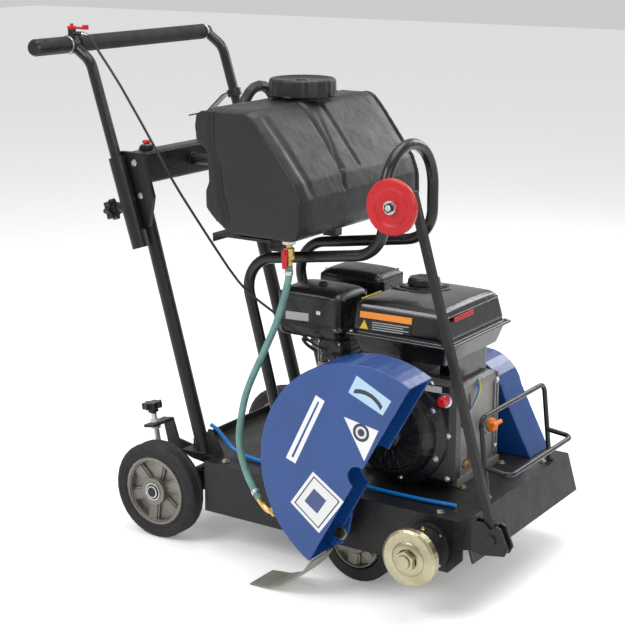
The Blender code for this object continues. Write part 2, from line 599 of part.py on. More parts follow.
def make_knobs():
    for hand, side in (("right", -1), ("left", 1)):
        at = SLEEVE_LOW + Vector((0, side * LEG_Y, 0)) + LEG_DIR * SLEEVE_KNOB + LEG_BACK * 0.045
        star(f"clamp_knob_{hand}", at, LEG_BACK, "black_plastic", 0.022, 0.014, 0.045 - LEG_R - GAP)


def make_stop_switch():
    at = Vector((-0.074, -0.155, BEAM_HIGH.z + GAP))
    body = box("stop_switch_box", at + Vector((-0.010, -0.010, 0)), at + Vector((0.010, 0.010, 0.011)),
               "black_plastic", edge=0.0015)
    cut(body, rod("well", at + Vector((0, 0, 0.003)), at + Vector((0, 0, 0.03)), 0.0063, sides=20))
    push = [(0.0, 0.021), (0.0075, 0.020), (0.0085, 0.017), (0.0085, 0.0145), (0.006, 0.0145), (0.006, 0.0075), (0.0, 0.0075)]
    turned("stop_button", push, at, (0, 0, 1), "red_plastic", 20)


# ---------------------------------------------------------------- water system
def make_tank():
    """A blow-moulded tank: straight back with a hollow, flat base, and a front that bulges forward and down."""
    low = TANK_BOTTOM
    outline = [(0.190, low), (0.322, low), (0.340, low + 0.010), (0.346, low + 0.030), (0.345, low + 0.078),
               (0.332, low + 0.112), (0.292, low + 0.165), (0.258, low + 0.208), (0.236, low + 0.232),
               (0.222, low + 0.240), (0.118, low + 0.238), (0.104, low + 0.228), (0.100, low + 0.205),
               (0.104, low + 0.175), (0.128, low + 0.158), (0.133, low + 0.100), (0.124, low + 0.080),
               (0.124, low + 0.048), (0.140, low + 0.030), (0.174, low + 0.004)]
    tank = as_mesh(plate("water_tank", outline, -TANK_HALF, TANK_HALF, "tank_plastic"))
    neck = rod("neck", (CAP_AT.x, CAP_AT.y, low + 0.220), (CAP_AT.x, CAP_AT.y, CAP_AT.z + 0.008), 0.048, sides=28)
    bevel(tank, 0.016, 3, 60.0)
    join(tank, neck)
    cut(tank, rod("mouth", (CAP_AT.x, CAP_AT.y, low + 0.10), (CAP_AT.x, CAP_AT.y, CAP_AT.z + 0.02), 0.042, sides=28))
    soften(tank.data)

    ribs = 24
    rim = []
    for n in range(ribs * 3):
        reach = 0.0585 if n % 3 else 0.0560
        angle = 2 * math.pi * n / (ribs * 3)
        rim.append((reach * math.cos(angle), reach * math.sin(angle)))
    cap = as_mesh(plate("tank_cap", rim, 0.0, 0.038, "black_plastic"))
    flat = Matrix.Rotation(-math.pi / 2, 4, "X")
    cap.data.transform(flat @ cap.matrix_world)
    cap.matrix_world = Matrix.Translation(CAP_AT + Vector((0, 0, 0.0415)))
    tab = box("tab", (0.050, -0.008, -0.036), (0.074, 0.008, -0.032))
    well = rod("well", (0, 0, -0.039), (0, 0, -0.008), 0.049, sides=28)
    for extra in (tab, well):
        extra.matrix_world = cap.matrix_world.copy()
    cut(join(cap, tab), well)


def make_tray():
    high = TANK_BOTTOM - GAP
    tray = box("tank_tray", (0.140, -0.222, high - 0.005), (0.275, 0.150, high), "frame_black")
    rail_foot = HOOP_LOW + (HOOP_HIGH - HOOP_LOW) * (0.265 - HOOP_REAR_X) / (HOOP_FRONT_X - HOOP_REAR_X) + 0.0115
    for y in (HOOP_MID - HOOP_Y, HOOP_MID + HOOP_Y):
        join(tray, box("rail", (0.235, y - 0.012, rail_foot), (0.265, y + 0.012, high - 0.003)))
    for y in (-0.19, -0.11, 0.10):
        cut(tray, box("slot", (0.258, y - 0.014, high - 0.01), (0.268, y + 0.014, high + 0.01)))
    return tray


def make_valve():
    x, y = VALVE_AT.x, VALVE_AT.y
    body = [(0.0, TANK_BOTTOM - GAP), (0.010, TANK_BOTTOM - GAP), (0.010, 0.641), (0.0065, 0.640), (0.0065, 0.636),
            (0.0105, 0.634), (0.0105, 0.612), (0.0065, 0.610), (0.0065, 0.600), (0.0, 0.600)]
    valve = turned("ball_valve", body, (x, y, 0), (0, 0, 1), "brass", 20)
    join(as_mesh(valve), rod("stem", (x, y, 0.627), (x, y - 0.0135, 0.627), 0.004, sides=12))
    handle = [*arc((x, 0.627), 0.007, 0, 180, 8), (x - 0.005, 0.596), (x + 0.005, 0.596)]
    lever = plate("valve_lever", handle, y - 0.0165, y - 0.0138, "red_plastic")
    join(as_mesh(lever), rod("nut", (x, y - 0.0160, 0.627), (x, y - 0.0190, 0.627), 0.004, sides=6))


def on_guard(angle, reach):
    """A point at this angle and distance from the guard's centre, as (x, z)."""
    return GUARD_CENTRE.x + reach * math.cos(angle), GUARD_CENTRE.z + reach * math.sin(angle)


NOZZLE_ANGLE = math.radians(210.6)
NOZZLE_Y = -0.292


def make_nozzle():
    x0, z0 = on_guard(NOZZLE_ANGLE, GUARD_R + GAP)
    out = Vector((math.cos(NOZZLE_ANGLE), 0, math.sin(NOZZLE_ANGLE)))
    body = [(0.0, 0.030), (0.0060, 0.030), (0.0060, 0.012), (0.0095, 0.012), (0.0095, 0.004), (0.0075, 0.004),
            (0.0075, 0.0), (0.0, 0.0)]
    turned("water_nozzle", body, (x0, NOZZLE_Y, z0), out, "brass", 16)


WATER_ROUTE = [(0.300, -0.195, 0.5993), (0.2998, -0.1952, 0.590), (0.298, -0.196, 0.570), (0.289, -0.201, 0.528), (0.277, -0.208, 0.484),
               (0.261, -0.216, 0.441), (0.239, -0.228, 0.385), (0.226, -0.237, 0.343), (0.2205, -0.246, 0.298),
               (0.222, -0.255, 0.262), (0.234, -0.265, 0.228), (0.258, -0.276, 0.192), (0.290, -0.286, 0.158)]
CABLE_ROUTE = [(-0.1750, -0.215, 1.0150), (-0.158, -0.2135, 1.003), (-0.1385, -0.213, 0.978), (-0.089, -0.211, 0.916),
               (-0.014, -0.205, 0.804), (0.024, -0.199, 0.741), (0.066, -0.191, 0.679), (0.147, -0.181, 0.573),
               (0.183, -0.177, 0.536), (0.210, -0.171, 0.515), (0.240, -0.164, 0.495), (0.262, -0.158, 0.475),
               (0.295, -0.148, 0.455), (0.322, -0.134, 0.432), (0.335, -0.1185, 0.424)]
FEED_ROUTE = [(0.0835, -0.166, 0.236), (0.094, -0.162, 0.229), (0.108, -0.160, 0.216), (0.126, -0.160, 0.200),
              (0.146, -0.162, 0.190), (0.175, -0.167, 0.1855), (0.225, -0.174, 0.1848), (0.330, -0.178, 0.1848),
              (0.430, -0.178, 0.1848), (0.530, -0.178, 0.1848), (0.600, -0.176, 0.1848), (0.655, -0.170, 0.1848)]


def make_cords():
    pipe("water_hose", smooth(WATER_ROUTE, 3), 0.0070, "green_hose", 2)
    pipe("throttle_cable", smooth(CABLE_ROUTE, 3), 0.0025, "rubber", 1)
    pipe("feed_tube", smooth(FEED_ROUTE, 2), 0.0040, "blue_tube", 2)


# ---------------------------------------------------------------- engine and drive
def make_engine():
    y0, y1 = -0.082, 0.105
    block = box("engine_block", (0.412, y0, 0.190), (0.598, y1, 0.372), "crankcase", edge=0.014, segments=2)
    base = box("base", (0.398, y0 + 0.006, DECK_TOP + GAP), (0.606, y1 - 0.006, 0.196))
    barrel = box("barrel", (-0.215, -0.062, -0.058), (-0.040, 0.066, 0.058))
    head = box("head", (-0.250, -0.056, -0.048), (-0.214, 0.060, 0.048), edge=0.008)
    for piece in (barrel, head):
        piece.matrix_world = Matrix.Translation((CRANK.x, 0, CRANK.z)) @ Matrix.Rotation(math.radians(20), 4, "Y")
    boss = rod("boss", (CRANK.x, y1 - 0.01, CRANK.z), (CRANK.x, y1 + 0.022, CRANK.z), 0.045, sides=24)
    spout = rod("spout", (0.585, 0.045, 0.262), (0.612, 0.045, 0.274), 0.013, sides=16)
    join(block, base, barrel, head, boss, spout)
    cut(block, rod("journal", (CRANK.x, 0.03, CRANK.z), (CRANK.x, 0.2, CRANK.z), 0.0103, sides=20))

    shroud = [(0.0, 0.0), (0.066, 0.0), (0.082, -0.010), (0.086, -0.026), (0.103, -0.030), (0.108, -0.040),
              (0.108, -0.0775), (0.0, -0.0775)]
    face = -0.1600
    housing = turned("recoil_housing", shroud, (CRANK.x, face, CRANK.z + 0.004), (0, -1, 0), "engine_black", 32)
    housing = as_mesh(housing)
    side = box("side", (0.500, face + 0.034, 0.200), (0.622, y0 - 0.004, 0.405), edge=0.010)
    grip_port = rod("grip_port", (0.470, face + 0.020, 0.362), (0.470, face - 0.002, 0.395), 0.012, sides=16)
    join(housing, side, grip_port)

    lid = tapered_box("fuel_tank", (0.392, -0.125, 0.466), (0.604, 0.122, 0.535), (0.397, -0.117), (0.588, 0.112),
                      "engine_black", 0.014, 2)
    pan = tapered_box("pan", (0.408, -0.108, 0.426), (0.590, 0.105, 0.467), (0.394, -0.123), (0.602, 0.120))
    flange = box("flange", (0.386, -0.131, 0.4640), (0.610, 0.128, 0.4695))
    legs = [box("leg", (x - 0.012, -0.06, 0.3723), (x + 0.012, 0.09, 0.43)) for x in (0.475, 0.565)]
    neck = rod("neck", (0.452, 0.055, 0.525), (0.452, 0.055, 0.541), 0.024, sides=20)
    bore = rod("bore", (0.452, 0.055, 0.510), (0.452, 0.055, 0.56), 0.020, sides=20)
    cut(join(lid, pan, flange, neck, *legs), bore)
    cap = [(0.0, 0.0185), (0.024, 0.0185), (0.0295, 0.015), (0.0295, 0.0), (0.0245, 0.0), (0.0245, 0.011), (0.0, 0.011)]
    turned("fuel_cap", cap, (0.452, 0.055, 0.5355), (0, 0, 1), "black_plastic", 24)

    cleaner = box("air_cleaner", (0.223, -0.129, 0.440), (0.371, -0.016, 0.540), "engine_black", edge=0.014, segments=2)
    join(cleaner, box("seam", (0.219, -0.132, 0.462), (0.375, -0.013, 0.467)))
    muffler = box("muffler", (0.212, 0.034, 0.430), (0.362, 0.142, 0.545), "engine_black", edge=0.016, segments=2)
    join(muffler, rod("outlet", (0.240, 0.130, 0.460), (0.240, 0.158, 0.460), 0.013, sides=16))
    carb = box("carburettor", (0.300, -0.100, 0.388), (0.360, -0.066, 0.4395), "cast_alloy", edge=0.004)
    join(carb, rod("bowl", (0.330, -0.083, 0.365), (0.330, -0.083, 0.39), 0.016, sides=16))
    plug = [(0.0, 0.050), (0.009, 0.050), (0.011, 0.044), (0.011, 0.022), (0.007, 0.020), (0.007, 0.0), (0.0, 0.0)]
    head_end = Vector((CRANK.x, 0.003, CRANK.z)) + Matrix.Rotation(math.radians(20), 3, "Y") @ Vector((-0.248, 0, 0))
    join(block, turned("plug", plug, head_end, Matrix.Rotation(math.radians(20), 3, "Y") @ Vector((-1, 0, 0)), None, 16))


def make_engine_controls():
    pull = Vector((0, -0.55, 0.835)).normalized()
    at = Vector((0.470, -0.1625, 0.398))
    grip = as_mesh(rod("recoil_grip", at, at + pull * 0.014, 0.009, "black_plastic", 16))
    bar = rod("bar", at + pull * 0.016 - Vector((0.022, 0, 0)), at + pull * 0.016 + Vector((0.022, 0, 0)), 0.0085, sides=16)
    join(grip, bar)
    for name, x, z, reach in (("choke_lever", 0.350, 0.405, -0.024), ("fuel_valve_lever", 0.384, 0.402, 0.022)):
        lever = as_mesh(ring(name, 0.0, 0.006, 0.0, 0.004, (x, -0.1145, z), (0, -1, 0), "black_plastic", 14))
        low, high = sorted((x, x + reach))
        join(lever, box("paddle", (low, -0.1180, z - 0.003), (high, -0.1150, z + 0.003)))
    mount = [(0.0, 0.018), (0.007, 0.018), (0.010, 0.015), (0.010, 0.0), (0.0, 0.0)]
    turned("engine_switch", mount, (0.604, -0.1263, 0.368), (0, -1, 0), "red_plastic", 20)
    out = Vector((0.0270, 0, 0.0120)).normalized()
    spout_end = Vector((0.612, 0.045, 0.274)) + out * GAP
    stick = as_mesh(rod("oil_dipstick", spout_end, spout_end + out * 0.010, 0.012, "orange_plastic", 16))
    tab = box("tab", (0.008, -0.017, -0.004), (0.020, 0.017, 0.004), edge=0.002)
    tab.matrix_world = Matrix.Translation(spout_end) @ Matrix.Rotation(-math.atan2(out.z, out.x), 4, "Y")
    join(stick, tab)


def belt_line(crank_radius, arbor_radius, steps=14):
    """The outline of a belt round both pulleys, as (x, z)."""
    start, end = Vector((CRANK.x, CRANK.z)), Vector((ARBOR.x, ARBOR.z))
    along = (end - start).normalized()
    tip = math.asin((crank_radius - arbor_radius) / (end - start).length)
    facing = math.degrees(math.atan2(along.y, along.x))
    tip = math.degrees(tip)
    around_crank = arc(start, crank_radius, facing + 90 - tip, facing + 270 + tip, steps)
    around_arbor = arc(end, arbor_radius, facing - 90 + tip, facing + 90 - tip, steps)
    return [*around_crank, *around_arbor]


def make_drive():
    low, high = PULLEY_Y - 0.007, PULLEY_Y + 0.007
    plate("drive_belt", belt_line(CRANK_PULLEY_R + BELT_T, ARBOR_PULLEY_R + BELT_T), low, high, "rubber",
          holes=[belt_line(CRANK_PULLEY_R + GAP * 2, ARBOR_PULLEY_R + GAP * 2)])
    for name, place, radius, start in (("crank_pulley", CRANK, CRANK_PULLEY_R, 0.045),
                                       ("arbor_shaft", ARBOR, ARBOR_PULLEY_R, 0.125)):
        groove, wide = radius - 0.0002, PULLEY_W / 2
        wheel = [(0.0, wide), (radius + 0.006, wide), (radius + 0.006, 0.0095), (groove, 0.0085), (groove, -0.0085),
                 (radius + 0.006, -0.0095), (radius + 0.006, -wide), (0.0, -wide)]
        pulley = turned("pulley", wheel, place + Vector((0, PULLEY_Y, 0)), (0, 1, 0), None, 24)
        if name == "crank_pulley":
            shaft = rod(name, place + Vector((0, start, 0)), place + Vector((0, PULLEY_Y + 0.018, 0)), 0.010, "steel")
            join(shaft, pulley)
        else:
            shaft = rod(name, place + Vector((0, -0.322, 0)), place + Vector((0, PULLEY_Y + 0.018, 0)), ARBOR_R, "zinc")
            inner = rod("inner_flange", place + Vector((0, -0.2945, 0)), place + Vector((0, -0.2865, 0)), FLANGE_R,
                        sides=32)
            join(shaft, pulley, inner)
    dome = [(0.024, 0.0112), (0.032, 0.0080), (0.050, 0.0080), (FLANGE_R, 0.0050), (FLANGE_R, 0.0), (ARBOR_R + GAP, 0.0),
            (ARBOR_R + GAP, 0.0112)]
    turned("outer_flange", dome, ARBOR + Vector((0, -0.2948, 0)), (0, -1, 0), "zinc", 32, closed=True)
    hexagon("arbor_nut", 0.036, 0.0, 0.012, ARBOR + Vector((0, -0.3063, 0)), (0, -1, 0), "zinc", bore=ARBOR_R + GAP)

    housing = [(0.036, 0.054), (0.038, 0.050), (0.038, 0.012), (0.046, 0.010), (0.046, 0.0), (ARBOR_R + GAP, 0.0),
               (ARBOR_R + GAP, 0.054)]
    turned("bearing_housing", housing, ARBOR + Vector((0, -DECK_HALF - GAP, 0)), (0, -1, 0), "frame_black", 28,
           closed=True)
    block = box("bearing_block", (ARBOR.x - 0.030, 0.128, 0.092), (ARBOR.x + 0.030, 0.168, DECK_TOP - SHEET - GAP),
                "crankcase", edge=0.004)
    cut(block, rod("bore", ARBOR + Vector((0, 0.1, 0)), ARBOR + Vector((0, 0.2, 0)), ARBOR_R + GAP, sides=20))


def make_belt_cover():
    """A hood over the belt, open below where the belt goes through the deck."""
    low, high, wall = 0.150, 0.234, 0.0025

    def hood(reach, drop):
        flare = 0.52 * drop
        crown = arc((CRANK.x, CRANK.z), 0.084 - reach, 12, 168, 12)
        return [(0.652 - reach + flare, base - drop), *crown, (0.408 + reach - flare, base - drop)]

    base = DECK_TOP + GAP
    cover = as_mesh(plate("belt_cover", hood(0.0, 0.0), low, high, "guard_blue"))
    bevel(cover, 0.012, 2, 60.0)
    cut(cover, plate("hollow", hood(wall, 0.01), low + wall, high - wall),
        rod("shaft_way", (CRANK.x, low - 0.01, CRANK.z), (CRANK.x, low + 0.01, CRANK.z), 0.018, sides=20))


# ---------------------------------------------------------------- guard and guide arm
def guard_pivot():
    """The fixed point about which the guard turns from tipped back to centred on the arbor with its edge level."""
    move = Vector((ARBOR.x - GUARD_CENTRE.x, ARBOR.z - GUARD_CENTRE.z))
    middle = Vector((ARBOR.x + GUARD_CENTRE.x, ARBOR.z + GUARD_CENTRE.z)) / 2
    across = Vector((move.y, -move.x)).normalized()
    return middle + across * (move.length / 2 / math.tan(GUARD_TILT / 2))


def make_guard():
    tilt = math.degrees(GUARD_TILT)

    def half(radius, past=0.0):
        drop = math.degrees(math.asin(past / radius)) if past else 0.0
        return arc((GUARD_CENTRE.x, GUARD_CENTRE.z), radius, tilt - drop, tilt + 180 + drop, 36)

    guard = as_mesh(plate("blade_guard", half(GUARD_R), GUARD_OUT, GUARD_IN, "guard_blue"))
    cut(guard, plate("hollow", half(GUARD_R - GUARD_SHEET, 0.02), GUARD_OUT + GUARD_SHEET, GUARD_IN + 0.01),
        rod("notch", (GUARD_CENTRE.x, GUARD_OUT - 0.01, GUARD_CENTRE.z),
            (GUARD_CENTRE.x, GUARD_OUT + 0.01, GUARD_CENTRE.z), 0.021, sides=24))
    pivot = guard_pivot()
    edge = Vector((math.cos(GUARD_TILT), math.sin(GUARD_TILT)))
    out = Vector((math.sin(GUARD_TILT), -math.cos(GUARD_TILT)))
    rim = [on_guard(math.radians(tilt + 180 - a), GUARD_R - 0.001) for a in (0, 8, 16, 24, 32)]
    lug = [tuple(pivot + edge * 0.05), *reversed(rim), tuple(pivot - edge * 0.018 + out * 0.013),
           tuple(pivot + edge * 0.012 + out * 0.013)]
    hole = arc(pivot, 0.0063, 0, 340, 17)
    join(guard, plate("lug", lug, GUARD_IN - 0.003, GUARD_IN + 0.0015, holes=[hole]))
    pin = [(0.0, 0.044), (0.009, 0.044), (0.010, 0.042), (0.010, 0.0366), (0.006, 0.0366), (0.006, 0.0312),
           (0.010, 0.0312), (0.010, 0.0), (0.0, 0.0)]
    join(bpy.data.objects["deck"], turned("pin", pin, (pivot.x, -DECK_HALF + 0.001, pivot.y), (0, -1, 0), None, 20))
    return guard


def make_flap():
    """A rubber flap that hangs from the guard's lower end and trails on the ground."""
    rim = Vector(on_guard(GUARD_TILT + math.pi, GUARD_R - 0.0015))
    x, z = rim + Vector((math.sin(GUARD_TILT), -math.cos(GUARD_TILT))) * 0.0038
    line = [(x, z), (x - 0.018, z - 0.026), (x - 0.042, z - 0.048), (x - 0.070, z - 0.066),
            (x - 0.098, z - 0.076), (x - 0.140, z - 0.0800)]
    strip("splash_flap", line, GUARD_OUT + 0.001, GUARD_IN - 0.001, 0.003, "flap_rubber")


def make_guide_arm():
    lean = Vector((-math.sin(ARM_LEAN), 0, math.cos(ARM_LEAN)))
    half = ARM_SIDE / 2
    arm = box("guide_arm", (-half, -half + 0.0003, 0.014), (half, half - 0.0003, ARM_LENGTH + 0.016), "frame_black",
              edge=0.0015)
    arm.matrix_world = Matrix.Translation(ARM_PIVOT) @ Matrix.Rotation(-ARM_LEAN, 4, "Y")
    foot = rod("foot", ARM_PIVOT - Vector((0, half - 0.0003, 0)), ARM_PIVOT + Vector((0, half - 0.0003, 0)), 0.0145,
               sides=20)
    bore = rod("bore", ARM_PIVOT - Vector((0, 0.02, 0)), ARM_PIVOT + Vector((0, 0.02, 0)), 0.0054, sides=16)
    neck = box("neck", (-0.010, -half + 0.0003, 0.010), (0.010, half - 0.0003, 0.030))
    neck.matrix_world = arm.matrix_world.copy()
    end = ARM_PIVOT + lean * ARM_LENGTH
    axle = rod("axle", end + Vector((0, half, 0)), (end.x, GUIDE_WHEEL_Y - 0.015, end.z), 0.005, sides=16)
    shoulder = rod("shoulder", end + Vector((0, -half + 0.001, 0)), (end.x, GUIDE_WHEEL_Y + 0.0085, end.z), 0.008,
                   sides=16)
    head = rod("head", (end.x, GUIDE_WHEEL_Y - 0.0085, end.z), (end.x, GUIDE_WHEEL_Y - 0.0145, end.z), 0.0085, sides=6)
    cut(join(arm, neck, foot, shoulder, axle, head), bore)
    bore_r = 0.005 + GAP
    wheel = [(GUIDE_WHEEL_R, 0.003), (GUIDE_WHEEL_R, -0.003), (GUIDE_WHEEL_R - 0.003, -0.005), (0.034, -0.005),
             (0.030, -0.0035), (0.014, -0.0035), (0.011, -0.0080), (bore_r, -0.0080), (bore_r, 0.0080), (0.011, 0.0080),
             (0.014, 0.0035), (0.030, 0.0035), (0.034, 0.005), (GUIDE_WHEEL_R - 0.003, 0.005)]
    turned("guide_wheel", wheel, (end.x, GUIDE_WHEEL_Y, end.z), (0, 1, 0), "red_plastic", 28, closed=True)


def main():
    clear_scene()
    global PARTS, CUTTERS
    PARTS, CUTTERS = collection("concrete_saw"), collection("cutters")
    make_deck()
    make_posts()
    make_beam()
    make_sleeve("sleeve_right", -1)
    make_sleeve("sleeve_left", 1)
    make_lifting_hoop()
    make_front_bracket()
    make_bumper()
    make_wheels()
    make_rear_axle()
    make_depth_adjuster()
    make_handle()
    make_throttle()
    make_knobs()
    make_stop_switch()
    make_tank()
    make_tray()
    make_valve()
    make_nozzle()
    make_cords()
    make_engine()
    make_engine_controls()
    make_drive()
    make_belt_cover()
    make_guard()
    make_flap()
    make_guide_arm()
    for item in [*PARTS.objects, *CUTTERS.objects]:
        item.matrix_world = Matrix.Translation(SHIFT) @ item.matrix_world


main()
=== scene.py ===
"""The looks of a walk-behind concrete saw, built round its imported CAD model.

Lengths are in metres. The CAD layout counts x from the rear axle and y from the deck's middle line;
`at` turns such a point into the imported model's frame.
"""
import json
import math

import bmesh
import bpy
from mathutils import Matrix, Vector, noise

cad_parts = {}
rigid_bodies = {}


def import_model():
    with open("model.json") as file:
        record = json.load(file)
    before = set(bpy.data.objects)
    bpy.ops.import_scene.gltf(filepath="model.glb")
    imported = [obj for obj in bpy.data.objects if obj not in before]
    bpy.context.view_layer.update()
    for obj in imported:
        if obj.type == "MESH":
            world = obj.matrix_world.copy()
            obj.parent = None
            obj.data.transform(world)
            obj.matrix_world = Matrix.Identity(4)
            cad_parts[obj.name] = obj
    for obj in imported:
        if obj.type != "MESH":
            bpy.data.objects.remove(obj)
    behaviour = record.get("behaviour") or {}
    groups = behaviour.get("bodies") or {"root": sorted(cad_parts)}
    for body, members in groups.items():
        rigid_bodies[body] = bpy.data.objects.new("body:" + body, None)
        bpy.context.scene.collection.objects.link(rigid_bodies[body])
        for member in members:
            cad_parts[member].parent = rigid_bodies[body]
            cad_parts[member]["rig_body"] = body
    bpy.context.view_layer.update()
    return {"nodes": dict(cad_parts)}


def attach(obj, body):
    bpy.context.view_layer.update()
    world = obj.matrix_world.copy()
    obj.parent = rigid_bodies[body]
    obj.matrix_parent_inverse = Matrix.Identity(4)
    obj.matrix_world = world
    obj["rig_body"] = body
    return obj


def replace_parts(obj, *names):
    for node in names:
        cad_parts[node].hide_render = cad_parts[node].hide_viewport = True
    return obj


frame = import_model()
NODES = frame["nodes"]
SCENE = bpy.context.scene
SHIFT = Vector((-0.2806, 0.0385, 0.0))  # from the layout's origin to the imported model's
X, Y, Z = Vector((1, 0, 0)), Vector((0, 1, 0)), Vector((0, 0, 1))
SHARP_EDGE = 32.0                       # degrees between faces, above which an edge of a CAD node stays sharp

DECK_TOP = 0.1803
POST_Y = 0.178
BAR_X, BAR_Z, BAR_R = -0.206, 0.993, 0.0129
REAR_HUB_Y, REAR_R = 0.230, 0.100
FRONT_HUB_X, FRONT_HUB_Y, FRONT_R = 0.460, 0.185, 0.080
CAP_X, CAP_Y, CAP_Z = 0.185, 0.022, 0.890
VALVE_X, VALVE_Y = 0.300, -0.195
ARBOR_X, ARBOR_Z = 0.630, 0.120
ARM_X, ARM_Z, ARM_LENGTH = 0.768, 0.170, 0.616
GUARD_FACE_Y = -0.2955                  # just inside the guard's outer face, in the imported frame
KNOB_FOOT_Z = 0.2375                    # where the depth screw's knob starts


def at(x, y, z):
    """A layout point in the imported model's frame."""
    return Vector((x, y, z)) + SHIFT


def smooth(route, pieces):
    """A smooth curve through a route's points, with this many pieces between each two."""
    route = [Vector(p) for p in route]
    ends = [2 * route[0] - route[1], *route, 2 * route[-1] - route[-2]]
    points = []
    for a, b, c, d in zip(ends, ends[1:], ends[2:], ends[3:]):
        for n in range(pieces):
            t = n / pieces
            points.append(0.5 * ((2 * b) + (c - a) * t + (2 * a - 5 * b + 4 * c - d) * t ** 2
                                 + (3 * b - a - 3 * c + d) * t ** 3))
    return [*points, route[-1]]


def bent(corners, radii, steps=14):
    """A line through corners, each inner one rounded to its radius."""
    corners = [Vector(c) for c in corners]
    points = [corners[0]]
    for before, corner, after, radius in zip(corners, corners[1:], corners[2:], radii):
        back, ahead = (before - corner).normalized(), (after - corner).normalized()
        half = back.angle(ahead) / 2
        reach = radius / math.tan(half)
        centre = corner + (back + ahead).normalized() * (radius / math.sin(half))
        first = (corner + back * reach - centre).normalized()
        last = (corner + ahead * reach - centre).normalized()
        points += [centre + first.slerp(last, n / steps) * radius for n in range(steps + 1)]
    return [*points, corners[-1]]


# ---------------------------------------------------------------- camera
lens = bpy.data.cameras.new("camera")
lens.lens, lens.sensor_width = 89.03, 36.0
camera = bpy.data.objects.new("camera", lens)
camera.location = (1.6339, -2.5087, 1.2420)
camera.rotation_euler = (math.radians(75.58), 0.0, math.radians(33.58))
SCENE.collection.objects.link(camera)
SCENE.camera = camera


